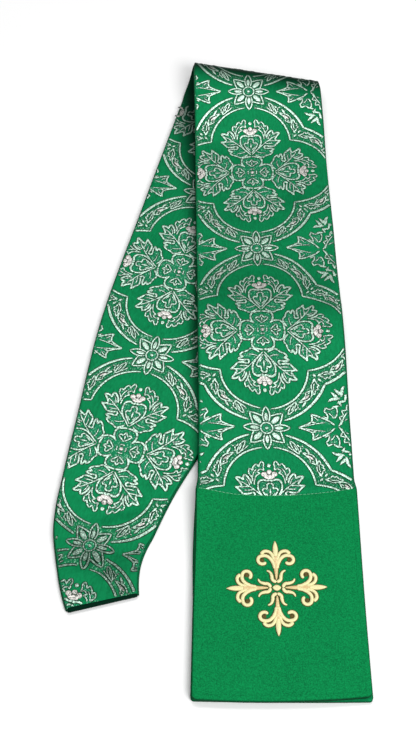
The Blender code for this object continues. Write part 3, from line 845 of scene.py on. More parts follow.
def sunk_section(shares, heights, rim=0.0, sunk=THREAD_SUNK):
    """A thread's section from its inner places and their heights, with a sunk edge at each side."""
    inner = [(share, 0.0, height) for share, height in zip(shares, heights)]
    return [(-1.0, -rim, -sunk)] + inner + [(1.0, rim, -sunk)]


def thread_piece(name, finish, runs, section, full_width, base, outwards, keep=None):
    """Closed bodies carried along runs of flat places, lens-shaped and sunk into the cloth.

    The section is a table of places across, as shares of the half width plus a rim in metres, and
    of heights, which are less where a thread is narrower than its full width. Each ring of points
    stands square to its run, and is placed at the base depth less its height; outwards is -1 where
    the cloth's outer face shows and 1 where its inner face does. With a keep, only points that it
    allows are joined. Each stretch of joined points is closed at both ends.
    """
    places = np.concatenate([run[0] for run in runs])
    width = np.concatenate([run[1] for run in runs])
    pale = np.concatenate([np.full(len(run[0]), run[2]) for run in runs])
    count = np.array([len(run[0]) for run in runs])
    last = np.cumsum(count) - 1
    first = last - count + 1
    number = np.arange(len(places))
    owner = np.repeat(np.arange(len(runs)), count)
    before = np.maximum(number - 1, first[owner])
    after = np.minimum(number + 1, last[owner])
    ahead = places[after] - places[before]
    ahead /= np.linalg.norm(ahead, axis=1, keepdims=True)
    left = np.stack([-ahead[:, 1], ahead[:, 0]], axis=1)
    share, rim, height = (np.array(column) for column in zip(*section))
    offset = outwards * (width[:, None] / 2 * share + rim)
    flat = places[:, None, :] + offset[..., None] * left[:, None, :]
    step = np.hypot(*(places - places[before]).T)
    travelled = np.cumsum(np.where(number == first[owner], 0.0, step))
    full = np.clip(width / full_width, NARROW_SHARE, 1.0)[:, None]
    depth = base + outwards * np.where(height > 0, height * full, height)
    points = on_cloth(flat[..., 0], flat[..., 1], depth)
    kept = keep(places[:, 0], places[:, 1]) if keep else np.ones(len(places), bool)
    joined = kept & kept[after] & (after > number)
    sides = len(section)
    ring = np.arange(sides)
    start = number[:, None] * sides
    quads = ring_quads(start[joined], sides)
    opened = joined & ~(joined[before] & (before < number))
    closed = np.zeros_like(joined)
    closed[1:] = joined[:-1]
    closed &= ~joined
    caps = np.concatenate([start[opened] + ring, start[closed] + ring[::-1]])
    used = np.zeros(len(points) * sides, bool)
    used[quads] = True
    renumber = np.cumsum(used) - 1
    faces = renumber[quads].tolist() + renumber[caps].tolist()
    # shade and shine carry the painted shade and the painted light of the lines to their finish
    single = {
        "core": (height == height.max()).astype(float),
        "pale": pale[:, None],
        "shade": shade_at(flat[..., 0], flat[..., 1]),
        "shine": painted_shine_at(flat[..., 1]),
    }
    values = {label: np.broadcast_to(data, depth.shape).ravel()[used] for label, data in single.items()}
    thread = np.stack(np.broadcast_arrays(offset, travelled[:, None], width[:, None]), axis=-1)
    values["thread"] = thread.reshape(-1, 3)[used]
    return new_piece(name, points.reshape(-1, 3)[used], faces, finish, values)


# ---------------------------------------------------------------- sizes and colours a user can change


def linear_colour(code):
    """A linear RGBA colour from an sRGB hex code: a power of 2.4 above the dark end's straight part."""
    levels = np.array([int(code[i:i + 2], 16) for i in (1, 3, 5)]) / 255
    linear = np.where(levels <= 0.04045, levels / 12.92, ((levels + 0.055) / 1.055) ** 2.4)
    return (*linear.tolist(), 1.0)


def colour_setting(name, description, code):
    """A colour property with its default from a hex code."""
    return bpy.props.FloatVectorProperty(name=name, description=description, subtype="COLOR", size=4,
                                         min=0.0, max=1.0, default=linear_colour(code))


def number_setting(name, description, default, unit="NONE"):
    """A property in a unit, for one number or for several that make a place."""
    if isinstance(default, tuple):
        return bpy.props.FloatVectorProperty(name=name, description=description, unit=unit,
                                             size=len(default), default=default)
    return bpy.props.FloatProperty(name=name, description=description, unit=unit, precision=5,
                                   default=default)


def length_setting(name, description, default):
    """A property for a length or a place, in metres."""
    return number_setting(name, description, default, "LENGTH")


class StoleCloth(bpy.types.PropertyGroup):
    """How finely the cloths are modelled, the colours of their yarns, and the colour of their painted shade.
    """

    row_step: length_setting("Row step", "Distance between two rows of points along a cloth", 2.0 * MM)
    columns: bpy.props.IntProperty(name="Columns", description="Points across a cloth's face", default=80)
    ground: colour_setting("Ground", "Satin ground of the brocade", "#0e824e")
    leaf: colour_setting("Leaf", "Inside of the woven leaves", "#1b8257")
    band: colour_setting("Band", "Ground in the band round a medallion", "#157549")
    fleck: colour_setting("Fleck", "Silver showing through inside figures", "#a8e6c8")
    shade: colour_setting("Shade", "Yarn seen between the satin's floats", "#065a32")
    # Turned edge is the painted shade colour: mixed in at edges, along the fold's crest, in the hollow
    # beside the front fall, in soft troughs, over the neck fold and into shaded binding
    turned: colour_setting("Turned edge", "Yarn in the shade of a turned edge", "#022316")
    # The sewing thread's pale colour is a painted highlight along the end panel's top edge
    thread: colour_setting("Thread", "Sewing thread along the end panel's top", "#8fe0b8")
    crepe: colour_setting("Crepe", "Plain cloth of the end panel", "#0b8f4e")
    crepe_shade: colour_setting("Crepe shade", "Grain of the plain cloth", "#045c32")


class StoleWeave(bpy.types.PropertyGroup):
    """Sizes and colours of the woven figures."""

    repeat: length_setting("Repeat", "Distance between two medallions", 175.3 * MM)
    front_turn: number_setting("Front turn", "Figures turned on the front half", 0.0132, "ROTATION")
    back_turn: number_setting("Back turn", "Figures turned on the back half", -0.0077, "ROTATION")
    front_star: length_setting("Front star", "Flat place of a star on the front half, across and along",
                               (-9.0 * MM, 33.4 * MM))
    back_star: length_setting("Back star", "Flat place of a star on the back half, across and along",
                              (-9.5 * MM, -327.0 * MM))
    thread_step: length_setting("Thread step", "Longest step along a woven line", 1.3 * MM)
    # The rim's dark binding is partly the weave's binding yarn and partly painted shadow beside the raised
    # line
    rim: length_setting("Rim", "Dark binding beside a woven line", 0.7 * MM)
    height: length_setting("Height", "How far a woven line stands over the ground", 0.34 * MM)
    full_width: length_setting("Full width", "Width from which a line has its full height", 1.2 * MM)
    edge_clear: length_setting("Edge clear", "Woven lines end this far inside the cloth's edge", 1.0 * MM)
    cover: length_setting("Cover", "Woven lines run this far in under the front fall", 25.0 * MM)
    silver: colour_setting("Silver", "Metallic thread of the figures", "#dcffea")
    blush: colour_setting("Blush", "Paler thread of the flowers", "#f4f0ea")
    # Binding colour: partly the weave's binding yarn, partly painted shadow beside the raised lines
    binding: colour_setting("Binding", "Dark binding beside the figures", "#0a3421")


class StoleCross(bpy.types.PropertyGroup):
    """Sizes and colours of the embroidered cross."""

    thread_step: length_setting("Thread step", "Longest step along a satin band", 0.4 * MM)
    height: length_setting("Height", "How far the padded satin stands over the panel", 1.05 * MM)
    full_width: length_setting("Full width", "Width from which a band has its full height", 2.4 * MM)
    outline: length_setting("Outline", "Width of the dark outline beside the satin", 0.5 * MM)
    outline_height: length_setting("Outline height", "How far the outline stands over the panel", 0.4 * MM)
    gold: colour_setting("Gold", "Satin thread", "#f3eeb4")
    peach: colour_setting("Peach", "Satin thread in the middle of the arms", "#e0bd84")
    brown: colour_setting("Brown", "Thread of the outline", "#4c4018")


class StoleStudio(bpy.types.PropertyGroup):
    """Camera, lights and floor."""

    look_at: length_setting("Look at", "Point the camera looks at", (0.30 * MM, -29.79 * MM, 0.0))
    elevation: number_setting("Elevation", "Camera's height as an angle", math.radians(59.294), "ROTATION")
    distance: length_setting("Distance", "From the camera to the point it looks at", 1.07387)
    lens: number_setting("Lens", "Focal length in millimetres", 62.4)
    floor_size: length_setting("Floor size", "Side of the floor", 6.0)
    floor: colour_setting("Floor", "Pale floor", "#fdfdfd")
    daylight: number_setting("Daylight", "Strength of the even light", 0.31)
    key_power: number_setting("Key", "Power of the overhead soft box", 11.0, "POWER")
    fill_power: number_setting("Fill", "Power of the front soft box", 29.0, "POWER")


# ---------------------------------------------------------------- finishes

# Sizes of the finishes' patterns in mm: the spacing of ribs, or the size of a noise's spots
FLOAT_SPACING = 0.8
PICK_SPACING = 1.1
SATIN_MOTTLE = 1.6
SATIN_DRIFT = 26.0
FLECK_SIZE = 1.0
BINDING_SIZE = 0.95
CREPE_GRAIN = 0.9
CREPE_DRIFT = 34.0
SATIN_STITCH = 0.6
SATIN_UNEVEN = 1.3
OUTLINE_DASH = 1.4
THREAD_TWIST = 0.7
PAINT_DRIFT = 180.0
DASH_LIGHTER = 1.8             # how much lighter a dash's middle is than its ends
PAINT_DARKER = 0.97


def add_node(tree, kind, settings=None, **links):
    """Adds a node, sets its own settings, and sets or links its inputs by name or number."""
    node = tree.nodes.new("ShaderNode" + kind)
    for name, value in (settings or {}).items():
        setattr(node, name, value)
    for name, value in links.items():
        socket = node.inputs[int(name[1:]) if name[0] == "_" else name.replace("_", " ")]
        if isinstance(value, bpy.types.NodeSocket):
            tree.links.new(value, socket)
        else:
            socket.default_value = value
    return node


def new_finish(name, **values):
    """A material's nodes and its Principled shader, with even values set on its own sockets."""
    finish = bpy.data.materials.new(name)
    finish.use_nodes = True
    tree = finish.node_tree
    tree.nodes.clear()
    shader = add_node(tree, "BsdfPrincipled", **values)
    add_node(tree, "OutputMaterial", Surface=shader.outputs["BSDF"])
    return tree, shader


def blended(tree, share, one, other):
    """A colour between two, by a share."""
    return add_node(tree, "Mix", {"data_type": "RGBA"}, _0=share, _6=one, _7=other).outputs[2]


def ranged(tree, value, low, high, to_low, to_high):
    """A value's range turned to another and clamped."""
    node = add_node(tree, "MapRange", None, Value=value, From_Min=low, From_Max=high,
                    To_Min=to_low, To_Max=to_high)
    return node.outputs["Result"]


def calculated(tree, operation, one, other):
    """A sum, difference or other result of two values."""
    return add_node(tree, "Math", {"operation": operation}, _0=one, _1=other).outputs[0]


def product(tree, one, other):
    """Two values multiplied."""
    return calculated(tree, "MULTIPLY", one, other)


def in_mm(tree, source, stretch=(1.0, 1.0, 1.0)):
    """Coordinates in millimetres, each axis multiplied by a stretch, from ones in metres."""
    scale = [part / MM for part in stretch]
    return add_node(tree, "Mapping", Vector=source, Scale=scale).outputs["Vector"]


def attribute_of(tree, name, output="Fac"):
    """A named value at the piece's own points."""
    return add_node(tree, "Attribute", {"attribute_name": name}).outputs[output]


def thread_mm(tree):
    """Millimetres across a thread and along it."""
    return in_mm(tree, attribute_of(tree, "thread", "Vector"))


def place_mm(tree):
    """Millimetres along the piece's own axes."""
    return in_mm(tree, add_node(tree, "TexCoord").outputs["Object"])


def share_between(tree, share, at_none, at_full):
    """A value that a share from 0 to 1 takes from one number to another."""
    return ranged(tree, share, 0.0, 1.0, at_none, at_full)


def noise_of(tree, vector, size, detail=2.0, roughness=0.5):
    """Noise whose spots are about a size in the vector's own unit."""
    node = add_node(tree, "TexNoise", None, Vector=vector, Scale=1 / size, Detail=detail,
                    Roughness=roughness)
    return node.outputs["Fac"]


def ribs_of(tree, vector, spacing, axis="X", distortion=0.0):
    """Even ribs across an axis; a wave texture's own spacing is a tenth of pi at scale 1."""
    node = add_node(tree, "TexWave", {"bands_direction": axis}, Vector=vector,
                    Scale=math.pi / 10 / spacing, Distortion=distortion, Detail=1.0, Detail_Scale=1.5)
    return node.outputs["Fac"]


def linked(tree, shader, **values):
    """Links values to the shader's inputs by name."""
    for name, value in values.items():
        tree.links.new(value, shader.inputs[name.replace("_", " ")])


def bumped(tree, shader, height, distance):
    """Gives the shader a bump whose full height is a distance in metres."""
    node = add_node(tree, "Bump", None, Height=height, Distance=distance, Strength=1.0)
    linked(tree, shader, Normal=node.outputs["Normal"])


def painted_shade_depth(tree):
    """How deep the painted shade is: at the cloth's edges, and as the shade value gives it at the fold's
    crest, in the hollow, in soft troughs and over the neck fold.
    """
    edge = ranged(tree, attribute_of(tree, "inset"), 0.0, EDGE_SHADE, 0.85, 0.0)
    return calculated(tree, "MAXIMUM", edge, attribute_of(tree, "shade"))


def satin_brocade(cloth):
    """Woven polyester satin: smooth warp floats with a soft shine, teal in leaves, dark in bands.

    Real floats are 0.1 mm apart; they are drawn 0.8 mm apart, so that they show.
    """
    tree, shader = new_finish("satin_brocade", Roughness=0.4, Specular_IOR_Level=0.02)
    flat = attribute_of(tree, "flat", "Vector")
    floats = ribs_of(tree, in_mm(tree, flat), FLOAT_SPACING, "X", 2.5)
    picks = ribs_of(tree, in_mm(tree, flat), PICK_SPACING, "Y", 3.0)
    mottle = noise_of(tree, in_mm(tree, flat, (1.0, 0.35, 1.0)), SATIN_MOTTLE, 3.0, 0.6)
    drift = noise_of(tree, in_mm(tree, flat), SATIN_DRIFT, 2.0)
    ground = blended(tree, attribute_of(tree, "leaf"), cloth.ground, cloth.leaf)
    ground = blended(tree, attribute_of(tree, "band"), ground, cloth.band)
    dark = product(tree, ranged(tree, mottle, 0.35, 0.7, 0.0, 0.55), ranged(tree, drift, 0.3, 0.7, 0.5, 1.2))
    colour = blended(tree, dark, ground, cloth.shade)
    figured = calculated(tree, "MAXIMUM", attribute_of(tree, "band"), attribute_of(tree, "leaf"))
    fleck = noise_of(tree, in_mm(tree, flat, (1.0, 0.6, 1.0)), FLECK_SIZE, 2.0, 0.7)
    flecks = product(tree, figured, ranged(tree, fleck, 0.58, 0.66, 0.0, 0.75))
    colour = blended(tree, flecks, colour, cloth.fleck)
    # Painted shade: the brocade darkens towards the turned colour at its edges, the fold's crest, the
    # hollow, soft troughs and the neck fold, and loses its metallic shine there
    turned = painted_shade_depth(tree)
    colour = blended(tree, turned, colour, cloth.turned)
    linked(tree, shader, Base_Color=colour, Metallic=share_between(tree, turned, 0.25, 0.0))
    weave = calculated(tree, "ADD", floats, product(tree, picks, 0.5))
    bumped(tree, shader, calculated(tree, "ADD", weave, mottle), 0.05 * MM)


def silver_thread(weave, cloth):
    """Flat metallic yarn, caught down by dark binding yarns: bright and speckled. Its dark sides are partly
    binding yarn and partly painted shadow beside the raised line.

    Real binding points are 0.2 mm apart; they are drawn about 1 mm apart, so that they show.
    """
    tree, shader = new_finish("silver_thread", Specular_IOR_Level=0.15)
    speckle = noise_of(tree, place_mm(tree), BINDING_SIZE, 2.0, 0.7)
    # Painted light and shade: shine and shade dim or brighten the lines and their speckle where the light
    # falls less or more
    shine = attribute_of(tree, "shine")
    dulled = calculated(tree, "SUBTRACT", speckle, share_between(tree, shine, 0.2, 0.0))
    caught = ranged(tree, dulled, 0.36, 0.52, 0.2, 1.0)
    shade = attribute_of(tree, "shade")
    lit = product(tree, share_between(tree, shade, 1.0, 0.15), share_between(tree, shine, 0.3, 1.0))
    # Off the line's top, its sides show the binding colour: partly binding yarn, partly painted shadow
    # beside the raised line
    middle = ranged(tree, attribute_of(tree, "core"), 0.02, 0.22, 0.0, 1.0)
    bright = product(tree, middle, product(tree, caught, lit))
    yarn = blended(tree, attribute_of(tree, "pale"), weave.silver, weave.blush)
    # In painted shade the binding goes towards the painted shade colour
    binding = blended(tree, shade, weave.binding, cloth.turned)
    linked(tree, shader, Base_Color=blended(tree, bright, binding, yarn),
           Metallic=product(tree, bright, 0.5),
           Roughness=share_between(tree, bright, 0.6, 0.36))
    bumped(tree, shader, speckle, 0.08 * MM)


def grained_crepe(cloth):
    """Polyester crepe: matte, with a fine pebbled grain of hard-twisted yarns.

    The real grain is 0.3 mm; it is drawn at 0.9 mm, so that it shows.
    """
    tree, shader = new_finish("grained_crepe", Roughness=0.85, Specular_IOR_Level=0.05)
    flat = in_mm(tree, attribute_of(tree, "flat", "Vector"))
    grain = noise_of(tree, flat, CREPE_GRAIN, 2.0, 0.7)
    drift = noise_of(tree, flat, CREPE_DRIFT, 2.0)
    dark = product(tree, ranged(tree, grain, 0.33, 0.67, 0.0, 1.0), ranged(tree, drift, 0.3, 0.7, 0.8, 0.95))
    colour = blended(tree, dark, cloth.crepe, cloth.crepe_shade)
    # Painted shade at the panel's side edges and hem, in the turned colour
    colour = blended(tree, painted_shade_depth(tree), colour, cloth.turned)
    linked(tree, shader, Base_Color=colour)
    allowance = ranged(tree, attribute_of(tree, "inset"), SEAM_ALLOWANCE, SEAM_ALLOWANCE + ALLOWANCE_STEP,
                       2.0, 0.0)
    bumped(tree, shader, calculated(tree, "ADD", grain, allowance), 0.1 * MM)


def gold_satin_stitch(cross):
    """Rayon satin stitch: silky pale gold, each stitch straight across its band.

    Real stitches lie 0.4 mm apart; they are drawn 0.6 mm apart, so that they show.
    """
    tree, shader = new_finish("gold_satin_stitch", Roughness=0.42, Specular_IOR_Level=0.6,
                                      Sheen_Weight=0.1, Sheen_Roughness=0.3)
    stitches = ribs_of(tree, thread_mm(tree), SATIN_STITCH, "Y", 0.6)
    uneven = noise_of(tree, place_mm(tree), SATIN_UNEVEN, 2.0, 0.6)
    peach = product(tree, attribute_of(tree, "pale"), ranged(tree, uneven, 0.3, 0.65, 0.25, 1.0))
    colour = blended(tree, peach, cross.gold, cross.peach)
    between = product(tree, ranged(tree, stitches, 0.0, 0.45, 0.5, 0.0),
                      ranged(tree, uneven, 0.3, 0.7, 0.3, 1.0))
    colour = blended(tree, between, colour, cross.peach)
    linked(tree, shader, Base_Color=colour)
    bumped(tree, shader, stitches, 0.12 * MM)


def brown_outline_stitch(cross):
    """Thin cotton outline stitch: matte olive brown, twisted in short dashes."""
    tree, shader = new_finish("brown_outline_stitch", Roughness=0.75, Specular_IOR_Level=0.3)
    dashes = ribs_of(tree, thread_mm(tree), OUTLINE_DASH, "Y", 1.0)
    light = (*[part * DASH_LIGHTER for part in cross.brown[:3]], 1.0)
    linked(tree, shader, Base_Color=blended(tree, dashes, cross.brown, light))
    bumped(tree, shader, dashes, 0.12 * MM)


def highlight_painted_thread(cloth):
    """Polyester sewing thread, a little glossy, twisted in short dashes; its colour, paler than the cloth,
    paints the highlight along the panel's top edge.
    """
    tree, shader = new_finish("highlight_painted_thread", Roughness=0.4, Specular_IOR_Level=0.5)
    twist = ribs_of(tree, thread_mm(tree), THREAD_TWIST, "Y", 0.8)
    colour = blended(tree, ranged(tree, twist, 0.2, 0.8, 0.0, 1.0), cloth.crepe, cloth.thread)
    linked(tree, shader, Base_Color=colour)
    bumped(tree, shader, twist, 0.08 * MM)


def painted_floor(studio):
    """Smooth pale paint with a barely uneven tone."""
    tree, shader = new_finish("painted_floor", Roughness=0.9, Specular_IOR_Level=0.1)
    tone = noise_of(tree, place_mm(tree), PAINT_DRIFT, 3.0)
    dim = (*[part * PAINT_DARKER for part in studio.floor[:3]], 1.0)
    linked(tree, shader, Base_Color=blended(tree, tone, dim, studio.floor))


# ---------------------------------------------------------------- pieces


def kept_inside(first, last, clear, cover=None):
    """A test for flat places well inside the cloth, between two places along it.

    With a cover it also leaves out what lies further than that in under the front fall.
    """
    def keep(flat_u, flat_v):
        along, across = section_place(flat_u, flat_v)
        left, right = reach(along)
        kept = (along > first) & (along < last) & (across > clear - left) & (across < right - clear)
        if cover is not None:
            over_u, over_v = mirrored_place(flat_u, flat_v)
            over_left, over_right = reach(over_v)
            kept &= ~((over_u > cover - over_left) & (over_u < over_right - cover) & (over_v > FOLD_CLEAR))
        return kept
    return keep


class STOLE_OT_front_cloth(bpy.types.Operator):
    """Makes the half that shows on the front fall, round the fold and in under it"""

    bl_idname = "stole.front_cloth"
    bl_label = "Front cloth"

    def execute(self, context):
        cloth, weave = context.scene.stole_cloth, context.scene.stole_weave
        end = FRONT_LENGTH - PANEL_PITCH
        along = rounded_rows(FRONT_ROOT, end, cloth.row_step, WALL / 2)
        inset = corner_inset(along, end, CORNER)
        piece = plain_cloth(
            "front_cloth", "satin_brocade", along, [side - inset for side in reach(along)],
            np.zeros_like(along), np.full_like(along, WALL), cloth.columns,
            marks=ground_marks(weave, weave.front_star, weave.front_turn), shaded_left=False)
        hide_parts("front_half")
        return {"FINISHED"}


def neck_roll():
    """The rounded edge that closes both cloths at the neck seam: an ellipse carried along the end.

    Its half length and half depth shrink to their closed share at both sides, as half rounds.
    """
    left, right = (side[0] for side in reach(np.array([-BACK_LENGTH])))
    across = rounded_rows(-left, right, NECK_STEP, WALL)
    size = end_share(across, WALL)[:, None]
    turn = np.linspace(0.0, 2 * math.pi, NECK_SIDES, endpoint=False)
    along = -BACK_LENGTH + NECK_INSIDE + NECK_HALF_LENGTH * np.cos(turn) * size
    middle = (PITCH + WALL) / 2
    depth = middle + (middle + NECK_PROUD) * np.sin(turn) * size
    flat_u, flat_v = flat_place(along, across[:, None])
    ring = np.arange(NECK_SIDES)
    start = np.arange(len(across) - 1)[:, None] * NECK_SIDES
    sides = ring_quads(start, NECK_SIDES)[:, ::-1]
    ends = [ring[::-1].tolist(), (start[-1, 0] + NECK_SIDES + ring).tolist()]
    # Painted shade: the whole neck fold takes the full painted shade colour, with inset 0 and shade 1
    values = {
        "flat": np.stack([flat_u, flat_v, depth], axis=-1),
        "inset": np.zeros_like(flat_u),
        "shade": np.ones_like(flat_u),
    }
    faces = sides.tolist() + ends
    return new_piece("neck_fold", on_cloth(flat_u, flat_v, depth), faces, "satin_brocade", values)


class STOLE_OT_back_cloth(bpy.types.Operator):
    """Makes the half that shows on the back fall, and the rounded fold at the neck seam"""

    bl_idname = "stole.back_cloth"
    bl_label = "Back cloth"

    def execute(self, context):
        cloth, weave = context.scene.stole_cloth, context.scene.stole_weave
        along = rounded_rows(-BACK_LENGTH, BACK_ROOT, cloth.row_step, WALL / 2)
        top = np.full_like(along, PITCH)
        piece = plain_cloth(
            "back_cloth", "satin_brocade", along, reach(along), top, top + WALL, cloth.columns,
            marks=ground_marks(weave, weave.back_star, weave.back_turn))
        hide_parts("back_half")
        fold = neck_roll()
        return {"FINISHED"}


class STOLE_OT_hidden_cloth(bpy.types.Operator):
    """Makes the cloth under the front fall, round the fold and under the back fall"""

    bl_idname = "stole.hidden_cloth"
    bl_label = "Hidden cloth"

    def execute(self, context):
        cloth = context.scene.stole_cloth
        end = FRONT_LENGTH + HIDDEN_HEM
        along = rounded_rows(-BACK_LENGTH, end, cloth.row_step, WALL / 2)
        inset = corner_inset(along, end, CORNER)
        drop = smooth_step((FRONT_ROOT - GAP - along) / (FRONT_ROOT - GAP - CROSSOVER))
        top = PITCH * (1 - drop)
        extra = PANEL_PITCH * panel_share(along)
        piece = plain_cloth(
            "hidden_cloth", "satin_brocade", along,
            [side - inset + HIDDEN_EDGE + extra for side in reach(along)], top, top + WALL + extra,
            cloth.columns // 2, plies=2, hem={"hem_sag": HIDDEN_HEM_SAG, "hem_skew": HIDDEN_HEM_SKEW})
        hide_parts("folded_layers")
        return {"FINISHED"}


def panel_stitches(top_edge):
    """Slip stitches along the end panel's bowed top edge, each a short run with a gap after it; their pale
    thread paints the highlight along that edge.
    """
    left, right = (side[0] for side in reach(np.array([top_edge])))
    count = int((left + right) / STITCH_PITCH)
    share = np.linspace(0.0, 1.0, STITCH_POINTS)
    runs = []
    for number in range(count):
        across = -left + STITCH_PITCH * (number + STITCH_START + share * STITCH_SHARE)
        along = top_edge + bow(np.full_like(across, top_edge), across) - STITCH_OUT
        width = STITCH_WIDTH * np.maximum(4 * share * (1 - share), STITCH_LEAST) ** STITCH_POWER
        runs.append((np.stack(flat_place(along, across), axis=1), width, 0.0))
    section = sunk_section(STITCH_SHARES, np.array(STITCH_HEIGHTS_MM) * MM, sunk=STITCH_SUNK)
    return thread_piece("panel_stitches", "highlight_painted_thread", runs, section, STITCH_WIDTH,
                        -STITCH_BASE, -1)


class STOLE_OT_end_panel(bpy.types.Operator):
    """Makes the plain cloth over the front half's end, turned down over its sides and its hem"""

    bl_idname = "stole.end_panel"
    bl_label = "End panel"

    def execute(self, context):
        cloth = context.scene.stole_cloth
        top_edge, end = FRONT_LENGTH - PANEL_LENGTH, FRONT_LENGTH
        lip = end - PANEL_WALL
        along = np.unique(np.concatenate([rounded_rows(top_edge, end, cloth.row_step, PANEL_ROUND),
                                          [lip - GAP / 2, lip]]))
        inset = corner_inset(along, end, PANEL_CORNER)
        brocade_left, brocade_right = (side - inset for side in reach(along))
        left, right = brocade_left + PANEL_PITCH, brocade_right + PANEL_PITCH
        rounded = PANEL_ROUND * (1 - end_share(along, PANEL_ROUND))
        over = rounded - PANEL_PITCH
        low = np.full_like(along, WALL - LIP_CLEAR)
        under = np.where(along < lip, -GAP, low)
        share = np.linspace(0.0, 1.0, cloth.columns)
        face = (WALL / 2 - brocade_left)[:, None] + share * (brocade_left + brocade_right - WALL)[:, None]
        turn = np.linspace(0.0, math.pi / 2, BEND_POINTS)
        bend_out = PANEL_ROUND * (np.sin(turn) - 1)
        bend_down = PANEL_ROUND * (1 - np.cos(turn))
        side_out = np.concatenate([bend_out, [0.0, -PANEL_ROUND / 2, PANEL_ROUND / 2 - PANEL_WALL,
                                              -PANEL_WALL, -PANEL_WALL]])
        side_depth = np.concatenate([
            over[:, None] + bend_down, low[:, None] + [-PANEL_ROUND / 2, 0.0, 0.0, -PANEL_ROUND / 2],
            under[:, None]], axis=1)
        across = np.concatenate([face, right[:, None] + side_out, face[:, ::-1],
                                 (-side_out - left[:, None])[:, ::-1]], axis=1)
        depth = np.concatenate([over[:, None] * np.ones_like(face), side_depth,
                                under[:, None] * np.ones_like(face), side_depth[:, ::-1]], axis=1)
        piece = cloth_piece("end_panel_cloth", "grained_crepe", along, across, depth, cloth.columns, {},
                            shaded_start=False)
        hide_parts("end_panel")
        stitches = panel_stitches(top_edge)
        return {"FINISHED"}


class STOLE_OT_woven_figures(bpy.types.Operator):
    """Makes the metallic figures of both halves, raised from their ground"""

    bl_idname = "stole.woven_figures"
    bl_label = "Woven figures"

    def execute(self, context):
        weave = context.scene.stole_weave
        shoulder = SHOULDER_SHARE * weave.height
        section = sunk_section((-1.0, 0.0, 1.0), (shoulder, weave.height, shoulder), weave.rim)
        top_edge = FRONT_LENGTH - PANEL_LENGTH + PANEL_SAG + FIGURES_UNDER_PANEL
        front = figure_runs(weave, np.array(weave.front_star), weave.front_turn, FRONT_ROOT, top_edge)
        keep = kept_inside(FRONT_ROOT + FRONT_FIGURES_CLEAR, top_edge, weave.edge_clear)
        piece = thread_piece("front_figures", "silver_thread", front, section, weave.full_width,
                             0.0, -1, keep)
        back = figure_runs(weave, np.array(weave.back_star), weave.back_turn, -BACK_LENGTH, BACK_ROOT)
        keep = kept_inside(NECK_FIGURES_CLEAR - BACK_LENGTH, BACK_ROOT - BACK_FIGURES_CLEAR,
                           weave.edge_clear, weave.cover)
        piece = thread_piece("back_figures", "silver_thread", back, section, weave.full_width,
                             PITCH + WALL, 1, keep)
        return {"FINISHED"}


# Satin bands of the cross: an eighth, a quarter and the middle, in mm from its middle
CROSS_EIGHTH = (
    ("band", (3.0, 2.8), ((0.0, 5.0, -0.26), (3.3, 8.2, 0.04), (4.0, 11.0))),
    ("band", (2.8, 1.4), ((3.7, 9.6, 0.20), (7.2, 13.6))),
    ("band", (3.0, 2.9), ((1.0, 15.0, 0.12), (5.8, 25.0, 0.10), (10.2, 25.6, 0.207), (13.4, 22.3, 0.207),
                          (10.2, 19.1, 0.16), (7.6, 20.7))),
    ("band", (2.4, 2.0), ((2.4, 19.6, 0.10), (6.6, 25.3, 0.08), (10.2, 25.8))),
    ("band", (2.4, 3.1), ((1.1, 22.0, 0.03), (3.0, 27.1, 0.12), (6.5, 29.4, 0.16), (10.0, 28.0, 0.1),
                          (10.9, 27.0))),
)
CROSS_QUARTER = (
    ("blade", (4.4, 4.4), ((0.0, 22.4, 0.0), (0.0, 37.7))),
)
# Dark stitches in the scrolls' eyes and under their outer petals
CROSS_EYES = (
    ("bud", (3.6, 3.6), ((8.5, 22.3, 0.0), (12.0, 22.3))),
    ("band", (1.4, 1.4), ((2.6, 24.6, 0.12), (6.0, 27.4, 0.10), (10.6, 27.0))),
)
CROSS_STEM = (
    ("line", (1.6, 6.0), ((0.0, 6.4, 0.0), (0.0, 25.0))),
)
CROSS_MIDDLE = (
    ("blade", (5.2, 5.2), ((-3.3, 0.0, 0.0), (3.3, 0.0))),
)


def cross_runs(groups, step):
    """Every group's strokes, turned about the cross's middle, in flat coordinates."""
    middle = np.array([CROSS_ACROSS, CROSS_ALONG])
    made = []
    for strokes, turns in groups:
        made += copies_of(stroke_runs(strokes, step), turns, np.zeros(2))
    return [(places * MM + middle, width * MM, pale) for places, width, pale in made]


class STOLE_OT_cross(bpy.types.Operator):
    """Makes the embroidered cross: padded satin bands over a thin dark outline"""

    bl_idname = "stole.cross"
    bl_label = "Cross"

    def execute(self, context):
        cross = context.scene.stole_cross
        step = cross.thread_step / MM
        groups = ((CROSS_EIGHTH, EIGHTHS), (CROSS_QUARTER, QUARTERS), (CROSS_MIDDLE, WHOLE))
        stem = cross_runs([(CROSS_STEM, QUARTERS)], step)
        runs = cross_runs(groups, step) + [(places, width, 1.0) for places, width, _ in stem]
        wider = [(places, width + 2 * cross.outline, 0.0) for places, width, _ in runs]
        wider += cross_runs([(CROSS_EYES, EIGHTHS)], step)
        share = np.linspace(-1.0, 1.0, SATIN_POINTS)[1:-1]
        lens = sunk_section(share, cross.height * (1 - share ** 2) ** 0.5)
        share = share[1::2]
        flat = sunk_section(share, cross.outline_height * (1 - share ** 4))
        piece = thread_piece("cross_satin", "gold_satin_stitch", runs, lens, cross.full_width,
                             -PANEL_PITCH, -1)
        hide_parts("cross")
        piece = thread_piece("cross_outline", "brown_outline_stitch", wider, flat, cross.full_width,
                             -PANEL_PITCH, -1)
        return {"FINISHED"}


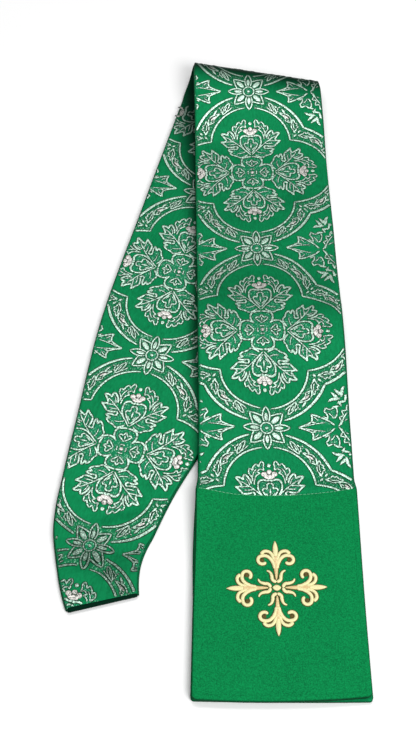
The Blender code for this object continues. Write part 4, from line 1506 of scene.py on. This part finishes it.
class STOLE_OT_finishes(bpy.types.Operator):
    """Makes every material"""

    bl_idname = "stole.finishes"
    bl_label = "Finishes"

    def execute(self, context):
        scene = context.scene
        satin_brocade(scene.stole_cloth)
        silver_thread(scene.stole_weave, scene.stole_cloth)
        grained_crepe(scene.stole_cloth)
        highlight_painted_thread(scene.stole_cloth)
        gold_satin_stitch(scene.stole_cross)
        brown_outline_stitch(scene.stole_cross)
        painted_floor(scene.stole_studio)
        return {"FINISHED"}


# ---------------------------------------------------------------- stage


def aimed(name, data, place, aim):
    """A light or a camera at a place, turned to an aim."""
    made = bpy.data.objects.new(name, data)
    made.location = place
    towards = mathutils.Vector(aim) - mathutils.Vector(place)
    made.rotation_euler = towards.to_track_quat("-Z", "Y").to_euler()
    bpy.context.scene.collection.objects.link(made)
    return made


def soft_box(name, power, place, aim, size):
    """A rectangular area light."""
    light = bpy.data.lights.new(name, "AREA")
    light.shape = "RECTANGLE"
    light.size, light.size_y = size
    light.energy = power
    aimed(name, light, place, aim)


class STOLE_OT_stage(bpy.types.Operator):
    """Makes the floor, the soft lights and the camera"""

    bl_idname = "stole.stage"
    bl_label = "Stage"

    def execute(self, context):
        studio = context.scene.stole_studio
        half = studio.floor_size / 2
        side = np.linspace(-half, half, FLOOR_POINTS)
        x, y = np.meshgrid(side, side)
        points = np.stack([x, y, np.full_like(x, FLOOR_HEIGHT)], axis=-1)
        number = np.arange(x.size).reshape(x.shape)
        faces = np.stack([number[:-1, :-1], number[:-1, 1:], number[1:, 1:], number[1:, :-1]], axis=-1)
        mesh = bpy.data.meshes.new("floor")
        mesh.from_pydata(points.reshape(-1, 3), [], faces.reshape(-1, 4).tolist())
        mesh.materials.append(bpy.data.materials["painted_floor"])
        floor = bpy.data.objects.new("floor", mesh)
        context.scene.collection.objects.link(floor)

        world = bpy.data.worlds.new("daylight")
        world.use_nodes = True
        background = world.node_tree.nodes["Background"]
        background.inputs["Color"].default_value = (1.0, 1.0, 1.0, 1.0)
        background.inputs["Strength"].default_value = studio.daylight
        context.scene.world = world
        soft_box("overhead_soft_box", studio.key_power, **OVERHEAD_BOX)
        soft_box("front_soft_box", studio.fill_power, **FRONT_BOX)

        view = bpy.data.cameras.new("camera")
        view.lens = studio.lens
        view.sensor_width = SENSOR_WIDTH
        view.clip_start = CLIP_START
        away = mathutils.Vector((0.0, -math.cos(studio.elevation), math.sin(studio.elevation)))
        place = mathutils.Vector(studio.look_at) + away * studio.distance
        context.scene.camera = aimed("camera", view, place, studio.look_at)
        context.scene.view_settings.view_transform = "Standard"
        return {"FINISHED"}


class STOLE_PT_panel(bpy.types.Panel):
    """Lists the stole's pieces in the sidebar"""

    bl_idname = "STOLE_PT_panel"
    bl_label = "Folded stole"
    bl_space_type = "VIEW_3D"
    bl_region_type = "UI"
    bl_category = "Stole"

    def draw(self, context):
        for settings in SETTINGS:
            box = self.layout.box()
            group = getattr(context.scene, settings)
            for name in group.bl_rna.properties.keys():
                if name not in ("rna_type", "name"):
                    box.prop(group, name)
        for operator in OPERATORS:
            self.layout.operator(operator.bl_idname)


SETTINGS = {
    "stole_cloth": StoleCloth,
    "stole_weave": StoleWeave,
    "stole_cross": StoleCross,
    "stole_studio": StoleStudio,
}
OPERATORS = (
    STOLE_OT_finishes,
    STOLE_OT_stage,
    STOLE_OT_hidden_cloth,
    STOLE_OT_back_cloth,
    STOLE_OT_front_cloth,
    STOLE_OT_end_panel,
    STOLE_OT_woven_figures,
    STOLE_OT_cross,
)


def register():
    for group in SETTINGS.values():
        bpy.utils.register_class(group)
    for name, group in SETTINGS.items():
        setattr(bpy.types.Scene, name, bpy.props.PointerProperty(type=group))
    for made in (*OPERATORS, STOLE_PT_panel):
        bpy.utils.register_class(made)


def unregister():
    for made in (STOLE_PT_panel, *reversed(OPERATORS)):
        bpy.utils.unregister_class(made)
    for name, group in SETTINGS.items():
        delattr(bpy.types.Scene, name)
        bpy.utils.unregister_class(group)


def main():
    register()
    for operator in OPERATORS:
        action = operator.bl_idname.split(".")[1]
        getattr(bpy.ops.stole, action)()


if __name__ == "__main__":
    main()
